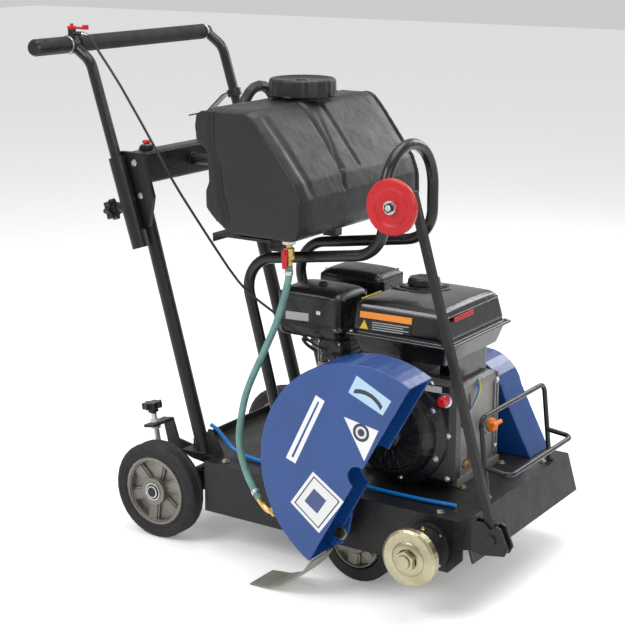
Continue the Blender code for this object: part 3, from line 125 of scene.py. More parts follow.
# ---------------------------------------------------------------- materials
class Finish:
    """A node-based material: colour that varies, edges lightened partly for wear and partly as a painted
    highlight, dusty places, soft edges and a fine surface.
    """

    def __init__(self, name, colour, rough, metal=0.0, vary=0.15, grain=(0.15, 700.0), lumps=(0.0, 60.0),
                 edge=None, dust=0.0, soft=0.0012, coat=0.0, blotch=9.0, rough_vary=0.10, shine=0.5):
        self.name = name
        self.material = bpy.data.materials.new(f"{name}_look")
        self.material.use_nodes = True
        self.tree = self.material.node_tree
        self.shader = self.tree.nodes["Principled BSDF"]
        self.where = self.add("ShaderNodeTexCoord").outputs["Object"]
        self.facing = self.add("ShaderNodeNewGeometry").outputs["Normal"]
        self.shader.inputs["Coat Weight"].default_value = coat
        self.shader.inputs["Coat Roughness"].default_value = 0.12
        self.shader.inputs["Metallic"].default_value = metal
        self.shader.inputs["Specular IOR Level"].default_value = shine
        cloud = self.noise(blotch, 6.0, 0.6)
        dark = [c * (1.0 - vary) for c in colour]
        light = [min(1.0, c * (1.0 + vary)) for c in colour]
        self.colour = self.blend(self.ramp(cloud, 0.35, 0.65), dark, light)
        rounded = None
        if soft:
            bevel = self.add("ShaderNodeBevel", samples=4)
            bevel.inputs["Radius"].default_value = soft
            rounded = bevel.outputs["Normal"]
        # Painted highlight mixed with wear: at edges, where the rounded normal turns away from the face's own
        # normal, the colour goes towards a lighter edge colour in noisy patches.
        if edge:
            turn = self.add("ShaderNodeVectorMath", operation="DOT_PRODUCT")
            self.link(rounded, turn.inputs[0])
            self.link(self.facing, turn.inputs[1])
            wear_and_highlight = self.math("MULTIPLY", self.ramp(turn.outputs["Value"], 0.995, 0.90),
                              self.ramp(self.noise(55.0, 8.0, 0.7), 0.42, 0.62))
            self.colour = self.blend(wear_and_highlight, self.colour, edge)
        if dust:
            up = self.add("ShaderNodeSeparateXYZ")
            self.link(self.facing, up.inputs[0])
            film = self.math("MULTIPLY", self.ramp(up.outputs["Z"], -0.1, 1.0),
                             self.ramp(self.noise(24.0, 8.0, 0.7), 0.3, 0.8))
            self.colour = self.blend(self.math("MULTIPLY", film, dust), self.colour, (0.30, 0.285, 0.26))
        low, high = max(0.03, rough - rough_vary), min(1.0, rough + rough_vary)
        self.rough = self.ramp(self.noise(31.0, 7.0, 0.65), 0.3, 0.7, low, high)
        normal = rounded
        for strength, scale in (lumps, grain):
            if strength:
                bump = self.add("ShaderNodeBump")
                bump.inputs["Strength"].default_value = strength
                bump.inputs["Distance"].default_value = 0.6 / scale
                self.link(self.noise(scale, 3.0, 0.55), bump.inputs["Height"])
                if normal:
                    self.link(normal, bump.inputs["Normal"])
                normal = bump.outputs["Normal"]
        self.normal = normal
        self.close()

    def close(self):
        self.link(self.colour, self.shader.inputs["Base Color"])
        self.link(self.rough, self.shader.inputs["Roughness"])
        if self.normal:
            self.link(self.normal, self.shader.inputs["Normal"])

    def add(self, kind, **settings):
        node = self.tree.nodes.new(kind)
        for key, value in settings.items():
            setattr(node, key, value)
        return node

    def link(self, source, target):
        self.tree.links.new(source, target)

    def put(self, value, socket):
        if isinstance(value, bpy.types.NodeSocket):
            self.link(value, socket)
        elif isinstance(value, (list, tuple)):
            socket.default_value = (*value[:3], 1.0)
        else:
            socket.default_value = value

    def noise(self, scale, detail, roughness):
        node = self.add("ShaderNodeTexNoise")
        self.link(self.where, node.inputs["Vector"])
        node.inputs["Scale"].default_value = scale
        node.inputs["Detail"].default_value = detail
        node.inputs["Roughness"].default_value = roughness
        return node.outputs["Fac"]

    def ramp(self, value, low, high, to_low=0.0, to_high=1.0):
        node = self.add("ShaderNodeMapRange")
        for socket, number in zip(("Value", "From Min", "From Max", "To Min", "To Max"),
                                  (value, low, high, to_low, to_high)):
            self.put(number, node.inputs[socket])
        return node.outputs["Result"]

    def math(self, operation, a, b=0.0):
        node = self.add("ShaderNodeMath", operation=operation)
        self.put(a, node.inputs[0])
        self.put(b, node.inputs[1])
        return node.outputs["Value"]

    def blend(self, factor, a, b):
        node = self.add("ShaderNodeMix", data_type="RGBA")
        self.put(factor, node.inputs[0])
        self.put(a, node.inputs[6])
        self.put(b, node.inputs[7])
        return node.outputs[2]

    def along(self, direction, offset=0.0):
        node = self.add("ShaderNodeVectorMath", operation="DOT_PRODUCT")
        self.link(self.where, node.inputs[0])
        node.inputs[1].default_value = direction
        return self.math("SUBTRACT", node.outputs["Value"], offset)

    def panel(self, corners, grow=0.0):
        """1 inside a convex outline of layout (x, z) points, counted either way round, else 0."""
        corners = [at(x, 0, z) for x, z in corners]
        middle = sum(corners, Vector()) / len(corners)
        inside = None
        for a, b in zip(corners, corners[1:] + corners[:1]):
            inward = Vector((-(b - a).z, 0, (b - a).x)).normalized()
            if inward.dot(middle - a) < 0:
                inward.negate()
            depth = self.along(inward, inward.dot(a) - grow)
            inside = depth if inside is None else self.math("MINIMUM", inside, depth)
        return self.math("GREATER_THAN", inside, 0.0)

    def paint(self, mask, colour):
        self.colour = self.blend(mask, self.colour, colour)
        self.close()


# The frame's lighter edge colour is partly edge wear and partly a painted highlight. The edge colours of the
# finishes below work the same way.
BLACK, EDGE_WEAR_AND_HIGHLIGHT = (0.0085, 0.0085, 0.0092), (0.10, 0.097, 0.094)
frame_black = Finish("frame_black", BLACK, 0.36, lumps=(0.10, 90.0), grain=(0.22, 620.0), edge=EDGE_WEAR_AND_HIGHLIGHT,
                     dust=0.05, shine=0.32)
tube_black = Finish("tube_black", BLACK, 0.27, lumps=(0.08, 70.0), grain=(0.15, 620.0), dust=0.03, soft=0.0,
                    coat=0.12, shine=0.35)
BLUE = (0.0055, 0.047, 0.200)
guard_blue = Finish("guard_blue", BLUE, 0.24, vary=0.08, lumps=(0.05, 35.0), grain=(0.10, 520.0),
                    soft=0.004, coat=0.25, edge=(0.05, 0.11, 0.34), rough_vary=0.05, shine=0.4)
cover_blue = Finish("cover_blue", BLUE, 0.24, vary=0.08, lumps=(0.05, 35.0), grain=(0.10, 520.0),
                    soft=0.003, coat=0.25, edge=(0.05, 0.11, 0.34), rough_vary=0.05, shine=0.4, dust=0.05)
tank_plastic = Finish("tank_plastic", (0.0125, 0.0125, 0.013), 0.42, lumps=(0.10, 60.0),
                      grain=(0.45, 850.0), dust=0.03, soft=0.0, shine=0.34)
black_plastic = Finish("black_plastic", (0.0085, 0.0085, 0.0095), 0.36, grain=(0.35, 900.0),
                       edge=(0.04, 0.04, 0.04), dust=0.04, shine=0.4)
rubber = Finish("rubber", (0.014, 0.014, 0.0145), 0.70, lumps=(0.15, 120.0), grain=(0.40, 900.0),
                edge=(0.07, 0.068, 0.065), dust=0.12, shine=0.35)
foam = Finish("foam", (0.010, 0.010, 0.011), 0.80, lumps=(0.25, 260.0), grain=(0.70, 1400.0), soft=0.0)
cast_alloy = Finish("cast_alloy", (0.215, 0.198, 0.178), 0.42, metal=0.75, vary=0.22, lumps=(0.25, 160.0),
                    grain=(0.40, 900.0), edge=(0.48, 0.46, 0.43), dust=0.05)
zinc = Finish("zinc", (0.41, 0.375, 0.25), 0.33, metal=0.92, vary=0.16, lumps=(0.06, 90.0),
              grain=(0.12, 1200.0), blotch=22.0)
steel = Finish("steel", (0.56, 0.56, 0.57), 0.27, metal=1.0, vary=0.10, grain=(0.12, 1400.0), soft=0.0006)
engine_black = Finish("engine_black", (0.0055, 0.0055, 0.0062), 0.16, vary=0.2, lumps=(0.05, 45.0),
                      grain=(0.05, 800.0), dust=0.025, soft=0.0016, coat=0.25, rough_vary=0.06, shine=0.4)
shroud_black = Finish("shroud_black", (0.0075, 0.0075, 0.0082), 0.27, grain=(0.20, 900.0),
                      edge=(0.04, 0.04, 0.04), dust=0.04, shine=0.4)
crankcase = Finish("crankcase", (0.23, 0.226, 0.215), 0.46, metal=0.55, vary=0.18, lumps=(0.30, 130.0),
                   grain=(0.45, 700.0), edge=(0.42, 0.41, 0.40), dust=0.06)
red_plastic = Finish("red_plastic", (0.42, 0.004, 0.008), 0.30, vary=0.10, grain=(0.12, 700.0),
                     edge=(0.55, 0.04, 0.04), coat=0.1, shine=0.4)
orange_plastic = Finish("orange_plastic", (0.75, 0.19, 0.012), 0.35, vary=0.10, grain=(0.15, 800.0))
hose_green = Finish("hose_green", (0.135, 0.285, 0.255), 0.30, vary=0.14, lumps=(0.10, 80.0),
                    grain=(0.10, 900.0), soft=0.0, blotch=40.0)
hose_green.shader.inputs["Transmission Weight"].default_value = 0.15
tube_blue = Finish("tube_blue", (0.0, 0.175, 0.56), 0.28, vary=0.12, grain=(0.10, 900.0), soft=0.0)
brass = Finish("brass", (0.66, 0.45, 0.16), 0.28, metal=0.95, vary=0.18, lumps=(0.10, 120.0),
               grain=(0.2, 1100.0))
flap_grey = Finish("flap_grey", (0.18, 0.20, 0.155), 0.42, vary=0.16, lumps=(0.35, 40.0),
                   grain=(0.25, 600.0), dust=0.25)
label_white = Finish("label_white", (0.66, 0.66, 0.65), 0.35, vary=0.05, grain=(0.03, 600.0), soft=0.0)
label_grey = Finish("label_grey", (0.33, 0.34, 0.35), 0.35, vary=0.06, grain=(0.03, 600.0), soft=0.0)
label_orange = Finish("label_orange", (0.80, 0.26, 0.02), 0.35, vary=0.05, grain=(0.03, 600.0), soft=0.0)
label_yellow = Finish("label_yellow", (0.62, 0.43, 0.03), 0.40, vary=0.05, grain=(0.03, 600.0), soft=0.0)
wire_blue = Finish("wire_blue", (0.02, 0.10, 0.45), 0.40, grain=(0.05, 900.0), soft=0.0)
wire_green = Finish("wire_green", (0.05, 0.32, 0.10), 0.40, grain=(0.05, 900.0), soft=0.0)

# The guard's printed panels, without any lettering.
skin = guard_blue
outer = skin.math("LESS_THAN", skin.along(Y), GUARD_FACE_Y)


def printed(corners, colour, grow=0.0):
    """A printed panel on the guard's outer face."""
    skin.paint(skin.math("MULTIPLY", skin.panel(corners, grow), outer), colour)


def printed_disc(x, z, low, high, colour, within):
    """A printed ring between the radii low and high, cut off at an outline."""
    centre = at(x, 0, z)
    reach = skin.add("ShaderNodeVectorMath", operation="LENGTH")
    offset = skin.add("ShaderNodeVectorMath", operation="MULTIPLY_ADD")
    skin.link(skin.where, offset.inputs[0])
    offset.inputs[1].default_value = (1.0, 0.0, 1.0)
    offset.inputs[2].default_value = (-centre.x, 0.0, -centre.z)
    skin.link(offset.outputs[0], reach.inputs[0])
    band = skin.math("MULTIPLY", skin.math("GREATER_THAN", reach.outputs["Value"], low),
                     skin.math("LESS_THAN", reach.outputs["Value"], high))
    skin.paint(skin.math("MULTIPLY", skin.math("MULTIPLY", band, skin.panel(within)), outer), colour)


PANEL = [(0.539, 0.458), (0.610, 0.423), (0.593, 0.394), (0.522, 0.424)]
TRIANGLE = [(0.513, 0.377), (0.585, 0.364), (0.556, 0.302)]
STRIP = [(0.453, 0.407), (0.472, 0.399), (0.408, 0.268), (0.387, 0.275)]
DIAMOND = [(0.447, 0.260), (0.514, 0.216), (0.460, 0.143), (0.397, 0.190)]
INK = (0.015, 0.020, 0.035)
printed(PANEL, (0.36, 0.52, 0.66))
printed_disc(0.548, 0.380, 0.046, 0.054, INK, [(0.545, 0.447), (0.600, 0.422), (0.588, 0.402),
                                               (0.532, 0.426)])
printed(TRIANGLE, (0.66, 0.67, 0.68))
printed_disc(0.549, 0.354, 0.0, 0.017, INK, TRIANGLE)
printed_disc(0.549, 0.354, 0.007, 0.0115, (0.55, 0.56, 0.57), TRIANGLE)
printed(STRIP, (0.68, 0.69, 0.70))
printed(STRIP, BLUE, -0.0085)
printed(DIAMOND, (0.66, 0.67, 0.68))
printed(DIAMOND, INK, -0.006)
printed(DIAMOND, (0.62, 0.63, 0.64), -0.0085)
printed([(0.449, 0.228), (0.476, 0.210), (0.456, 0.180), (0.428, 0.199)], (0.03, 0.06, 0.16))

# The depth screw's knob is black plastic on a bright screw.
depth = Finish("depth_screw_finish", (0.55, 0.55, 0.54), 0.30, metal=0.6, vary=0.12, grain=(0.15, 1200.0))
depth.paint(depth.math("GREATER_THAN", depth.along(Z), KNOB_FOOT_Z), (0.015, 0.015, 0.016))

# Which finish each CAD node has.
LOOKS = {
    frame_black: "deck post_right post_left cross_beam sleeve_right sleeve_left front_bracket "
                 "rear_axle_frame depth_bracket tank_tray bearing_housing guide_arm",
    tube_black: "lifting_hoop front_bumper handle_frame",
    guard_blue: "blade_guard", cover_blue: "belt_cover", tank_plastic: "water_tank",
    rubber: "rear_wheel_right_tyre rear_wheel_left_tyre front_wheel_right front_wheel_left "
            "throttle_cable drive_belt",
    foam: "handle_grip", cast_alloy: "rear_wheel_right_rim rear_wheel_left_rim",
    zinc: "arbor_shaft outer_flange arbor_nut depth_nut", steel: "front_axle crank_pulley",
    engine_black: "fuel_tank air_cleaner muffler", shroud_black: "recoil_housing carburettor",
    crankcase: "engine_block bearing_block",
    red_plastic: "throttle_lever stop_button valve_lever engine_switch guide_wheel",
    orange_plastic: "oil_dipstick",
    hose_green: "water_hose", tube_blue: "feed_tube", brass: "ball_valve water_nozzle",
    flap_grey: "splash_flap",
    black_plastic: "clamp_knob_right clamp_knob_left stop_switch_box tank_cap fuel_cap "
                   "recoil_grip choke_lever fuel_valve_lever",
    depth: "depth_screw",
}
for finish, names in LOOKS.items():
    for name in names.split():
        mesh = NODES[name].data
        mesh.materials.clear()
        mesh.materials.append(finish.material)
        mesh.shade_smooth()
        mesh.set_sharp_from_angle(angle=math.radians(SHARP_EDGE))


# ---------------------------------------------------------------- pieces
def take(piece, finish, body):
    """Gives a piece its material and the body that it rides on."""
    if finish:
        piece.data.materials.append(finish.material)
    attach(piece, body)
    return piece


def from_shape(name, shape, finish, body, edge=0.0, angle=34.0):
    """A piece from a bmesh, its edges rounded to the width edge where that is given."""
    mesh = bpy.data.meshes.new(name)
    bmesh.ops.recalc_face_normals(shape, faces=shape.faces)
    shape.to_mesh(mesh)
    shape.free()
    mesh.shade_smooth()
    mesh.set_sharp_from_angle(angle=math.radians(angle))
    piece = bpy.data.objects.new(name, mesh)
    SCENE.collection.objects.link(piece)
    if edge:
        bevel = piece.modifiers.new("edges", "BEVEL")
        bevel.width, bevel.segments, bevel.limit_method = edge, 2, "ANGLE"
        bevel.angle_limit = math.radians(35)
    return take(piece, finish, body)


def aimed(place, direction):
    """A frame at a place, with its Z along a direction."""
    return Matrix.Translation(place) @ Vector(direction).to_track_quat("Z", "Y").to_matrix().to_4x4()


def lathe(name, profile, place, direction, finish, body, steps=48, shape=None, waves=(0, 0.0)):
    """A turned piece: (radius, height) points round a direction.

    waves are the number of lobes and their share of the radius.
    """
    own = shape or bmesh.new()
    turn = aimed(place, direction)
    closed = profile[0][0] > 0 and profile[-1][0] > 0
    rings = []
    for radius, height in profile:
        ring = []
        for n in range(steps if radius > 0 else 1):
            angle = 2 * math.pi * n / steps
            reach = radius * (1 + waves[1] * math.cos(waves[0] * angle))
            spot = Vector((reach * math.cos(angle), reach * math.sin(angle), height))
            ring.append(own.verts.new(turn @ spot))
        rings.append(ring)
    for a, b in zip(rings, rings[1:] + (rings[:1] if closed else [])):
        for n in range(steps):
            corners = [a[n % len(a)], a[(n + 1) % len(a)], b[(n + 1) % len(b)], b[n % len(b)]]
            own.faces.new(list(dict.fromkeys(corners)))
    return own if shape else from_shape(name, own, finish, body)


def tube(name, points, radius, finish, body, fineness=6):
    """A round tube along points."""
    curve = bpy.data.curves.new(name, "CURVE")
    curve.dimensions, curve.use_fill_caps = "3D", True
    curve.bevel_depth, curve.bevel_resolution = radius, fineness
    line = curve.splines.new("POLY")
    line.points.add(len(points) - 1)
    for spot, where in zip(line.points, points):
        spot.co = (*where, 1.0)
    line.use_smooth = True
    piece = bpy.data.objects.new(name, curve)
    SCENE.collection.objects.link(piece)
    return take(piece, finish, body)


def prism(shape, outline, way):
    """A flat outline of points, made as thick as way."""
    low = [shape.verts.new(p) for p in outline]
    high = [shape.verts.new(Vector(p) + Vector(way)) for p in outline]
    shape.faces.new(low)
    shape.faces.new(high[::-1])
    for n in range(len(low)):
        m = (n + 1) % len(low)
        shape.faces.new([low[n], high[n], high[m], low[m]])
    return shape


def slab(name, outlines, way, finish, body, edge=0.0):
    """Flat outlines, each made as thick as way, in one piece."""
    shape = bmesh.new()
    for outline in outlines:
        prism(shape, outline, way)
    return from_shape(name, shape, finish, body, edge)


def blocks(name, boxes, finish, body, edge=0.0, turn=None):
    """Boxes from low to high corners in layout numbers, or in a turned frame."""
    shape = bmesh.new()
    for low, high in boxes:
        low, high = Vector(low), Vector(high)
        outline = [Vector((x, y, low.z))
                   for x, y in ((low.x, low.y), (high.x, low.y), (high.x, high.y), (low.x, high.y))]
        way = Vector((0, 0, high.z - low.z))
        if turn:
            prism(shape, [turn @ p for p in outline], turn.to_3x3() @ way)
        else:
            prism(shape, [p + SHIFT for p in outline], way)
    return from_shape(name, shape, finish, body, edge)


def bolts(name, spots, direction, size, finish, body, washer=True):
    """Hexagon heads on washers, all facing one way."""
    shape = bmesh.new()
    for spot in spots:
        if washer:
            lathe(None, [(0.0, 0.0), (size * 1.05, 0.0), (size * 1.05, size * 0.18), (0.0, size * 0.18)],
                  spot, direction, None, None, 28, shape)
        lathe(None, [(0.0, 0.0), (size * 0.72, 0.0), (size * 0.72, size * 0.52), (size * 0.60, size * 0.66),
                     (0.0, size * 0.66)],
              spot, direction, None, None, 6, shape)
    return from_shape(name, shape, finish, body)


def beads(name, rings, finish, body, fat=0.0022):
    """Weld seams round tubes: (place, direction, radius) each, as a ring of ripples."""
    shape = bmesh.new()
    for place, direction, radius in rings:
        turn, steps, round_ = aimed(place, direction), 72, 8
        grid = []
        for n in range(steps):
            angle = 2 * math.pi * n / steps
            uneven = noise.noise(Vector((n * 0.6, radius * 90, place[0] * 9)))
            size = fat * (1.0 + 0.22 * math.cos(angle * 24) + 0.25 * uneven)
            section = []
            for m in range(round_):
                a = 2 * math.pi * m / round_
                reach = radius + size * math.cos(a)
                spot = Vector((reach * math.cos(angle), reach * math.sin(angle), size * math.sin(a)))
                section.append(shape.verts.new(turn @ spot))
            grid.append(section)
        for n in range(steps):
            for m in range(round_):
                a, b = grid[n], grid[(n + 1) % steps]
                shape.faces.new([a[m], b[m], b[(m + 1) % round_], a[(m + 1) % round_]])
    return from_shape(name, shape, finish, body, angle=80)


def skinned(node, voxel, rounds, finish, shape_it=None):
    """A moulded skin over a CAD node: its corners melt into each other, as they do in a mould."""
    body = NODES[node]["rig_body"]
    piece = bpy.data.objects.new(f"{node}_skin", NODES[node].data.copy())
    SCENE.collection.objects.link(piece)
    piece.data.materials.clear()
    mould = piece.modifiers.new("mould", "REMESH")
    mould.mode, mould.voxel_size = "VOXEL", voxel
    melt = piece.modifiers.new("melt", "SMOOTH")
    melt.factor, melt.iterations = 0.5, rounds
    bpy.context.view_layer.update()
    mesh = bpy.data.meshes.new_from_object(piece.evaluated_get(bpy.context.evaluated_depsgraph_get()))
    piece.modifiers.clear()
    piece.data = mesh
    mesh.materials.clear()
    if shape_it:
        normals = [v.normal.copy() for v in mesh.vertices]
        for vertex, normal in zip(mesh.vertices, normals):
            vertex.co = shape_it(vertex.co, normal)
    mesh.shade_smooth()
    take(piece, finish, body)
    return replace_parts(piece, node)


def step(value, low, high):
    """0 below low, 1 above high and smooth between them."""
    t = max(0.0, min(1.0, (value - low) / (high - low)))
    return t * t * (3 - 2 * t)


# ---------------------------------------------------------------- hose, cable and feed tube
ROUTES = {
    "water_hose": (0.0070, 3, hose_green, "hanging", [
        (0.300, -0.195, 0.5993), (0.2998, -0.1952, 0.590), (0.298, -0.196, 0.570), (0.289, -0.201, 0.528),
        (0.277, -0.208, 0.484), (0.261, -0.216, 0.441), (0.239, -0.228, 0.385), (0.226, -0.237, 0.343),
        (0.2205, -0.246, 0.298), (0.222, -0.255, 0.262), (0.234, -0.265, 0.228), (0.258, -0.276, 0.192),
        (0.290, -0.286, 0.158)]),
    "throttle_cable": (0.0025, 2, rubber, "hanging", [
        (-0.1750, -0.215, 1.0150), (-0.158, -0.2135, 1.003), (-0.1385, -0.213, 0.978),
        (-0.089, -0.211, 0.916), (-0.014, -0.205, 0.804), (0.024, -0.199, 0.741), (0.066, -0.191, 0.679),
        (0.147, -0.181, 0.573), (0.183, -0.177, 0.536), (0.210, -0.171, 0.515), (0.240, -0.164, 0.495),
        (0.262, -0.158, 0.475), (0.295, -0.148, 0.455), (0.322, -0.134, 0.432), (0.335, -0.1185, 0.424)]),
    "feed_tube": (0.0040, 2, tube_blue, "loose", [
        (0.0835, -0.166, 0.236), (0.094, -0.162, 0.229), (0.108, -0.160, 0.216), (0.126, -0.160, 0.200),
        (0.146, -0.162, 0.190), (0.175, -0.167, 0.1855), (0.225, -0.174, 0.1848), (0.330, -0.178, 0.1848),
        (0.430, -0.178, 0.1848), (0.530, -0.178, 0.1848), (0.600, -0.176, 0.1848), (0.655, -0.170, 0.1848)]),
}
for node, (radius, pieces, finish, lay, route) in ROUTES.items():
    line = smooth([at(*p) for p in route], pieces)
    cord = tube(f"{node}_line", line, radius, finish, "chassis", 5)
    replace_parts(cord, node)

# ---------------------------------------------------------------- frame
HOOP_MID, HOOP_HALF, HOOP_R = -0.0585, 0.0915, 0.011
near, far = HOOP_MID - HOOP_HALF, HOOP_MID + HOOP_HALF
side = [(0.267, near, DECK_TOP), (0.156, near, 0.588), (0.480, near, 0.634), (0.480, near, 0.828)]
back = [(x, far, z) for x, _, z in reversed(side)]
bow = HOOP_HALF - 0.0005
hoop = tube("hoop_tube", [at(*p) for p in bent([*side, *back], [0.065, 0.065, bow, bow, 0.065, 0.065])],
            HOOP_R, tube_black, "chassis", 10)
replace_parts(hoop, "lifting_hoop")
foot, top = Vector((0.686, 0, DECK_TOP)), Vector((0.668, 0, 0.338))
low_y, high_y = -0.105, 0.165
upright = [foot + Y * low_y, top + Y * low_y, top + Y * high_y, foot + Y * high_y]
bumper = tube("bumper_upright", [at(*p) for p in bent(upright, [0.018, 0.018])], 0.005, tube_black,
              "chassis", 8)
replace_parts(bumper, "front_bumper")
reach = [(0.679, low_y, 0.244), (0.732, low_y, 0.238), (0.732, high_y, 0.238), (0.679, high_y, 0.244)]
tube("bumper_reach", [at(*p) for p in bent(reach, [0.016, 0.016])], 0.0049, tube_black, "chassis", 8)
beads("welds", [(at(0.0755, s * POST_Y, 0.1815), Z, 0.0152) for s in (-1, 1)]
      + [(at(-0.0745, s * POST_Y, 0.7185), Z, 0.0150) for s in (-1, 1)]
      + [(at(0.267, y, 0.1808), Z, 0.0120) for y in (near, far)]
      + [(at(-0.0545, y, 0.753), X, 0.0120) for y in (-0.028, 0.088)]
      + [(at(0.6855, y, 0.1808), Z, 0.0056) for y in (low_y, high_y)], tube_black, "chassis")
blocks("deck_pads", [((0.408, y, DECK_TOP), (0.596, y + 0.030, 0.1885)) for y in (-0.088, 0.081)],
       frame_black, "chassis", 0.001)
bolts("deck_bolts", [at(x, y, 0.1805) for x in (0.392, 0.614) for y in (-0.070, 0.095)]
      + [at(x, y, 0.1805) for x in (0.150, 0.640) for y in (-0.205, 0.205)], Z, 0.0080, zinc, "chassis")
bolts("bumper_nuts", [at(0.6785, y, 0.1805) for y in (low_y + 0.016, high_y - 0.016)], Z, 0.0075, steel,
      "chassis")
bolts("skirt_bolts", [at(x, -0.2253, 0.150) for x in (0.235, 0.300)], -Y, 0.0068, frame_black, "chassis")
bolts("web_bolts", [at(x, -0.2048, z) for x, z in ((-0.066, 0.765), (-0.052, 0.700))], -Y, 0.0066, steel,
      "chassis")
tray_edge = [((0.140, -0.222, 0.6330), (0.1425, 0.150, 0.6446)),
             ((0.2725, -0.222, 0.6330), (0.275, 0.150, 0.6446))]
blocks("tray_edges", tray_edge, frame_black, "chassis", 0.0008)
lathe("beam_plug", [(0.0, 0.0), (0.020, 0.0), (0.0205, 0.0015), (0.0, 0.0025)], at(-0.075, -0.1951, 0.752),
      -Y, black_plastic, "chassis", 32)
stop_wire = smooth([at(-0.0850, -0.155, 0.7885), at(-0.0955, -0.150, 0.7870), at(-0.0985, -0.140, 0.770),
                    at(-0.0985, -0.060, 0.742), at(-0.0985, 0.050, 0.736), at(-0.0985, 0.130, 0.744)], 6)
tube("stop_wire", stop_wire, 0.0018, rubber, "chassis", 3)
lathe("stop_collar", [(0.0089, 0.0), (0.0099, 0.0), (0.0099, 0.0008), (0.0089, 0.0012)],
      at(-0.074, -0.155, 0.7954), Z, steel, "chassis", 32)

# handle: rings at both ends of the grip, ribs on its stub, the throttle's screw and the cable's adjuster
lathe("handle_ring", [(BAR_R, 0.0), (0.0172, 0.0), (0.0180, 0.0015), (0.0180, 0.0070), (0.0172, 0.0085),
                      (BAR_R, 0.0085)],
      at(BAR_X, -0.2340, BAR_Z), Y, steel, "handle")
lathe("far_ring", [(BAR_R, 0.0), (0.0165, 0.0), (0.0170, 0.001), (0.0170, 0.004), (BAR_R, 0.005)],
      at(BAR_X, 0.2056, BAR_Z), Y, steel, "handle")
grip_rings = bmesh.new()
for n in range(22):
    y = -0.3255 + n * 0.0040
    lathe(None, [(0.0160, 0.0), (0.01675, 0.0007), (0.01675, 0.0017), (0.0160, 0.0024)],
          at(BAR_X, y, BAR_Z), Y, None, None, 40, grip_rings)
from_shape("stub_ribs", grip_rings, rubber, "handle")
bolts("perch_screw", [at(-0.2025, -0.2220, 1.0343 - 0.0035)], Z, 0.0040, steel, "throttle", washer=False)
lathe("cable_adjuster", [(0.0, 0.0), (0.0046, 0.0), (0.0046, 0.004), (0.0034, 0.005), (0.0034, 0.016),
                         (0.0, 0.016)],
      at(-0.182, -0.2165, 1.0152), Vector((0.85, 0.05, -0.15)), steel, "handle", 24)

# ---------------------------------------------------------------- wheels
def spoked(name, place, inner, rim, face, hand, body, spokes=6):
    """Cast spokes that stand on a wheel's web, with a rolled rim edge and a hub ring."""
    shape = bmesh.new()
    out = Vector((0, hand, 0))
    for n in range(spokes):
        angle = 2 * math.pi * n / spokes + 0.35
        along = Vector((math.cos(angle), 0, math.sin(angle)))
        aside = Vector((-math.sin(angle), 0, math.cos(angle)))
        for high, wide_in, wide_out, rise in ((0.0, 0.0120, 0.0150, 0.0050),
                                              (0.0050, 0.0080, 0.0105, 0.0028)):
            outline = [place + out * (face + high) + along * r + aside * w
                       for r, w in ((inner, -wide_in), (rim, -wide_out), (rim, wide_out), (inner, wide_in))]
            prism(shape, outline, out * rise)
    lathe(None, [(rim - 0.004, face), (rim, face), (rim, face + 0.0115), (rim - 0.0025, face + 0.0130),
                 (rim - 0.004, face + 0.010)],
          place, out, None, None, 64, shape)
    lathe(None, [(inner - 0.012, face), (inner, face), (inner - 0.0015, face + 0.0130),
                 (inner - 0.006, face + 0.0150), (inner - 0.012, face + 0.0135)],
          place, out, None, None, 48, shape)
    return from_shape(name, shape, cast_alloy, body, 0.0009)


for hand, word in ((-1, "right"), (1, "left")):
    hub = at(0, hand * REAR_HUB_Y, REAR_R)
    body = f"rear_wheel_{word}"
    spoked(f"{body}_spokes", hub, 0.0265, 0.0660, 0.0058, hand, body)
    walls = bmesh.new()
    for r, w in ((0.0770, 0.0009), (0.0860, 0.0012), (0.0925, 0.0008)):
        lathe(None, [(r - w, 0.0222), (r, 0.0238 if r < 0.09 else 0.0215), (r + w, 0.0222)], hub,
              (0, hand, 0), None, None, 80, walls)
    from_shape(f"{body}_wall", walls, rubber, body)
    lathe(f"{body}_bearing", [(0.0102, 0.0), (0.0160, 0.0), (0.0160, 0.0014), (0.0102, 0.0014)],
          hub + Y * hand * 0.0231, (0, hand, 0), shroud_black, body)
    lathe(f"{body}_bearing_ring", [(0.0160, 0.0), (0.0182, 0.0), (0.0182, 0.0020), (0.0160, 0.0020)],
          hub + Y * hand * 0.0231, (0, hand, 0), steel, body)
    lathe(f"{body}_axle_clip", [(0.0102, 0.0), (0.0128, 0.0), (0.0128, 0.0018), (0.0102, 0.0024)],
          hub + Y * hand * 0.0252, (0, hand, 0), steel, "rear_axle", 32)
    front = at(FRONT_HUB_X, hand * FRONT_HUB_Y, FRONT_R)
    body = f"front_wheel_{word}"
    lathe(f"{body}_disc", [(0.0104, 0.0), (0.0510, 0.0), (0.0510, 0.0015), (0.0104, 0.0015)],
          front + Y * hand * 0.0121, (0, hand, 0), cast_alloy, body)
    spoked(f"{body}_spokes", front, 0.0230, 0.0505, 0.0134, hand, body)

# ---------------------------------------------------------------- water tank
CAP = at(CAP_X, CAP_Y, CAP_Z)


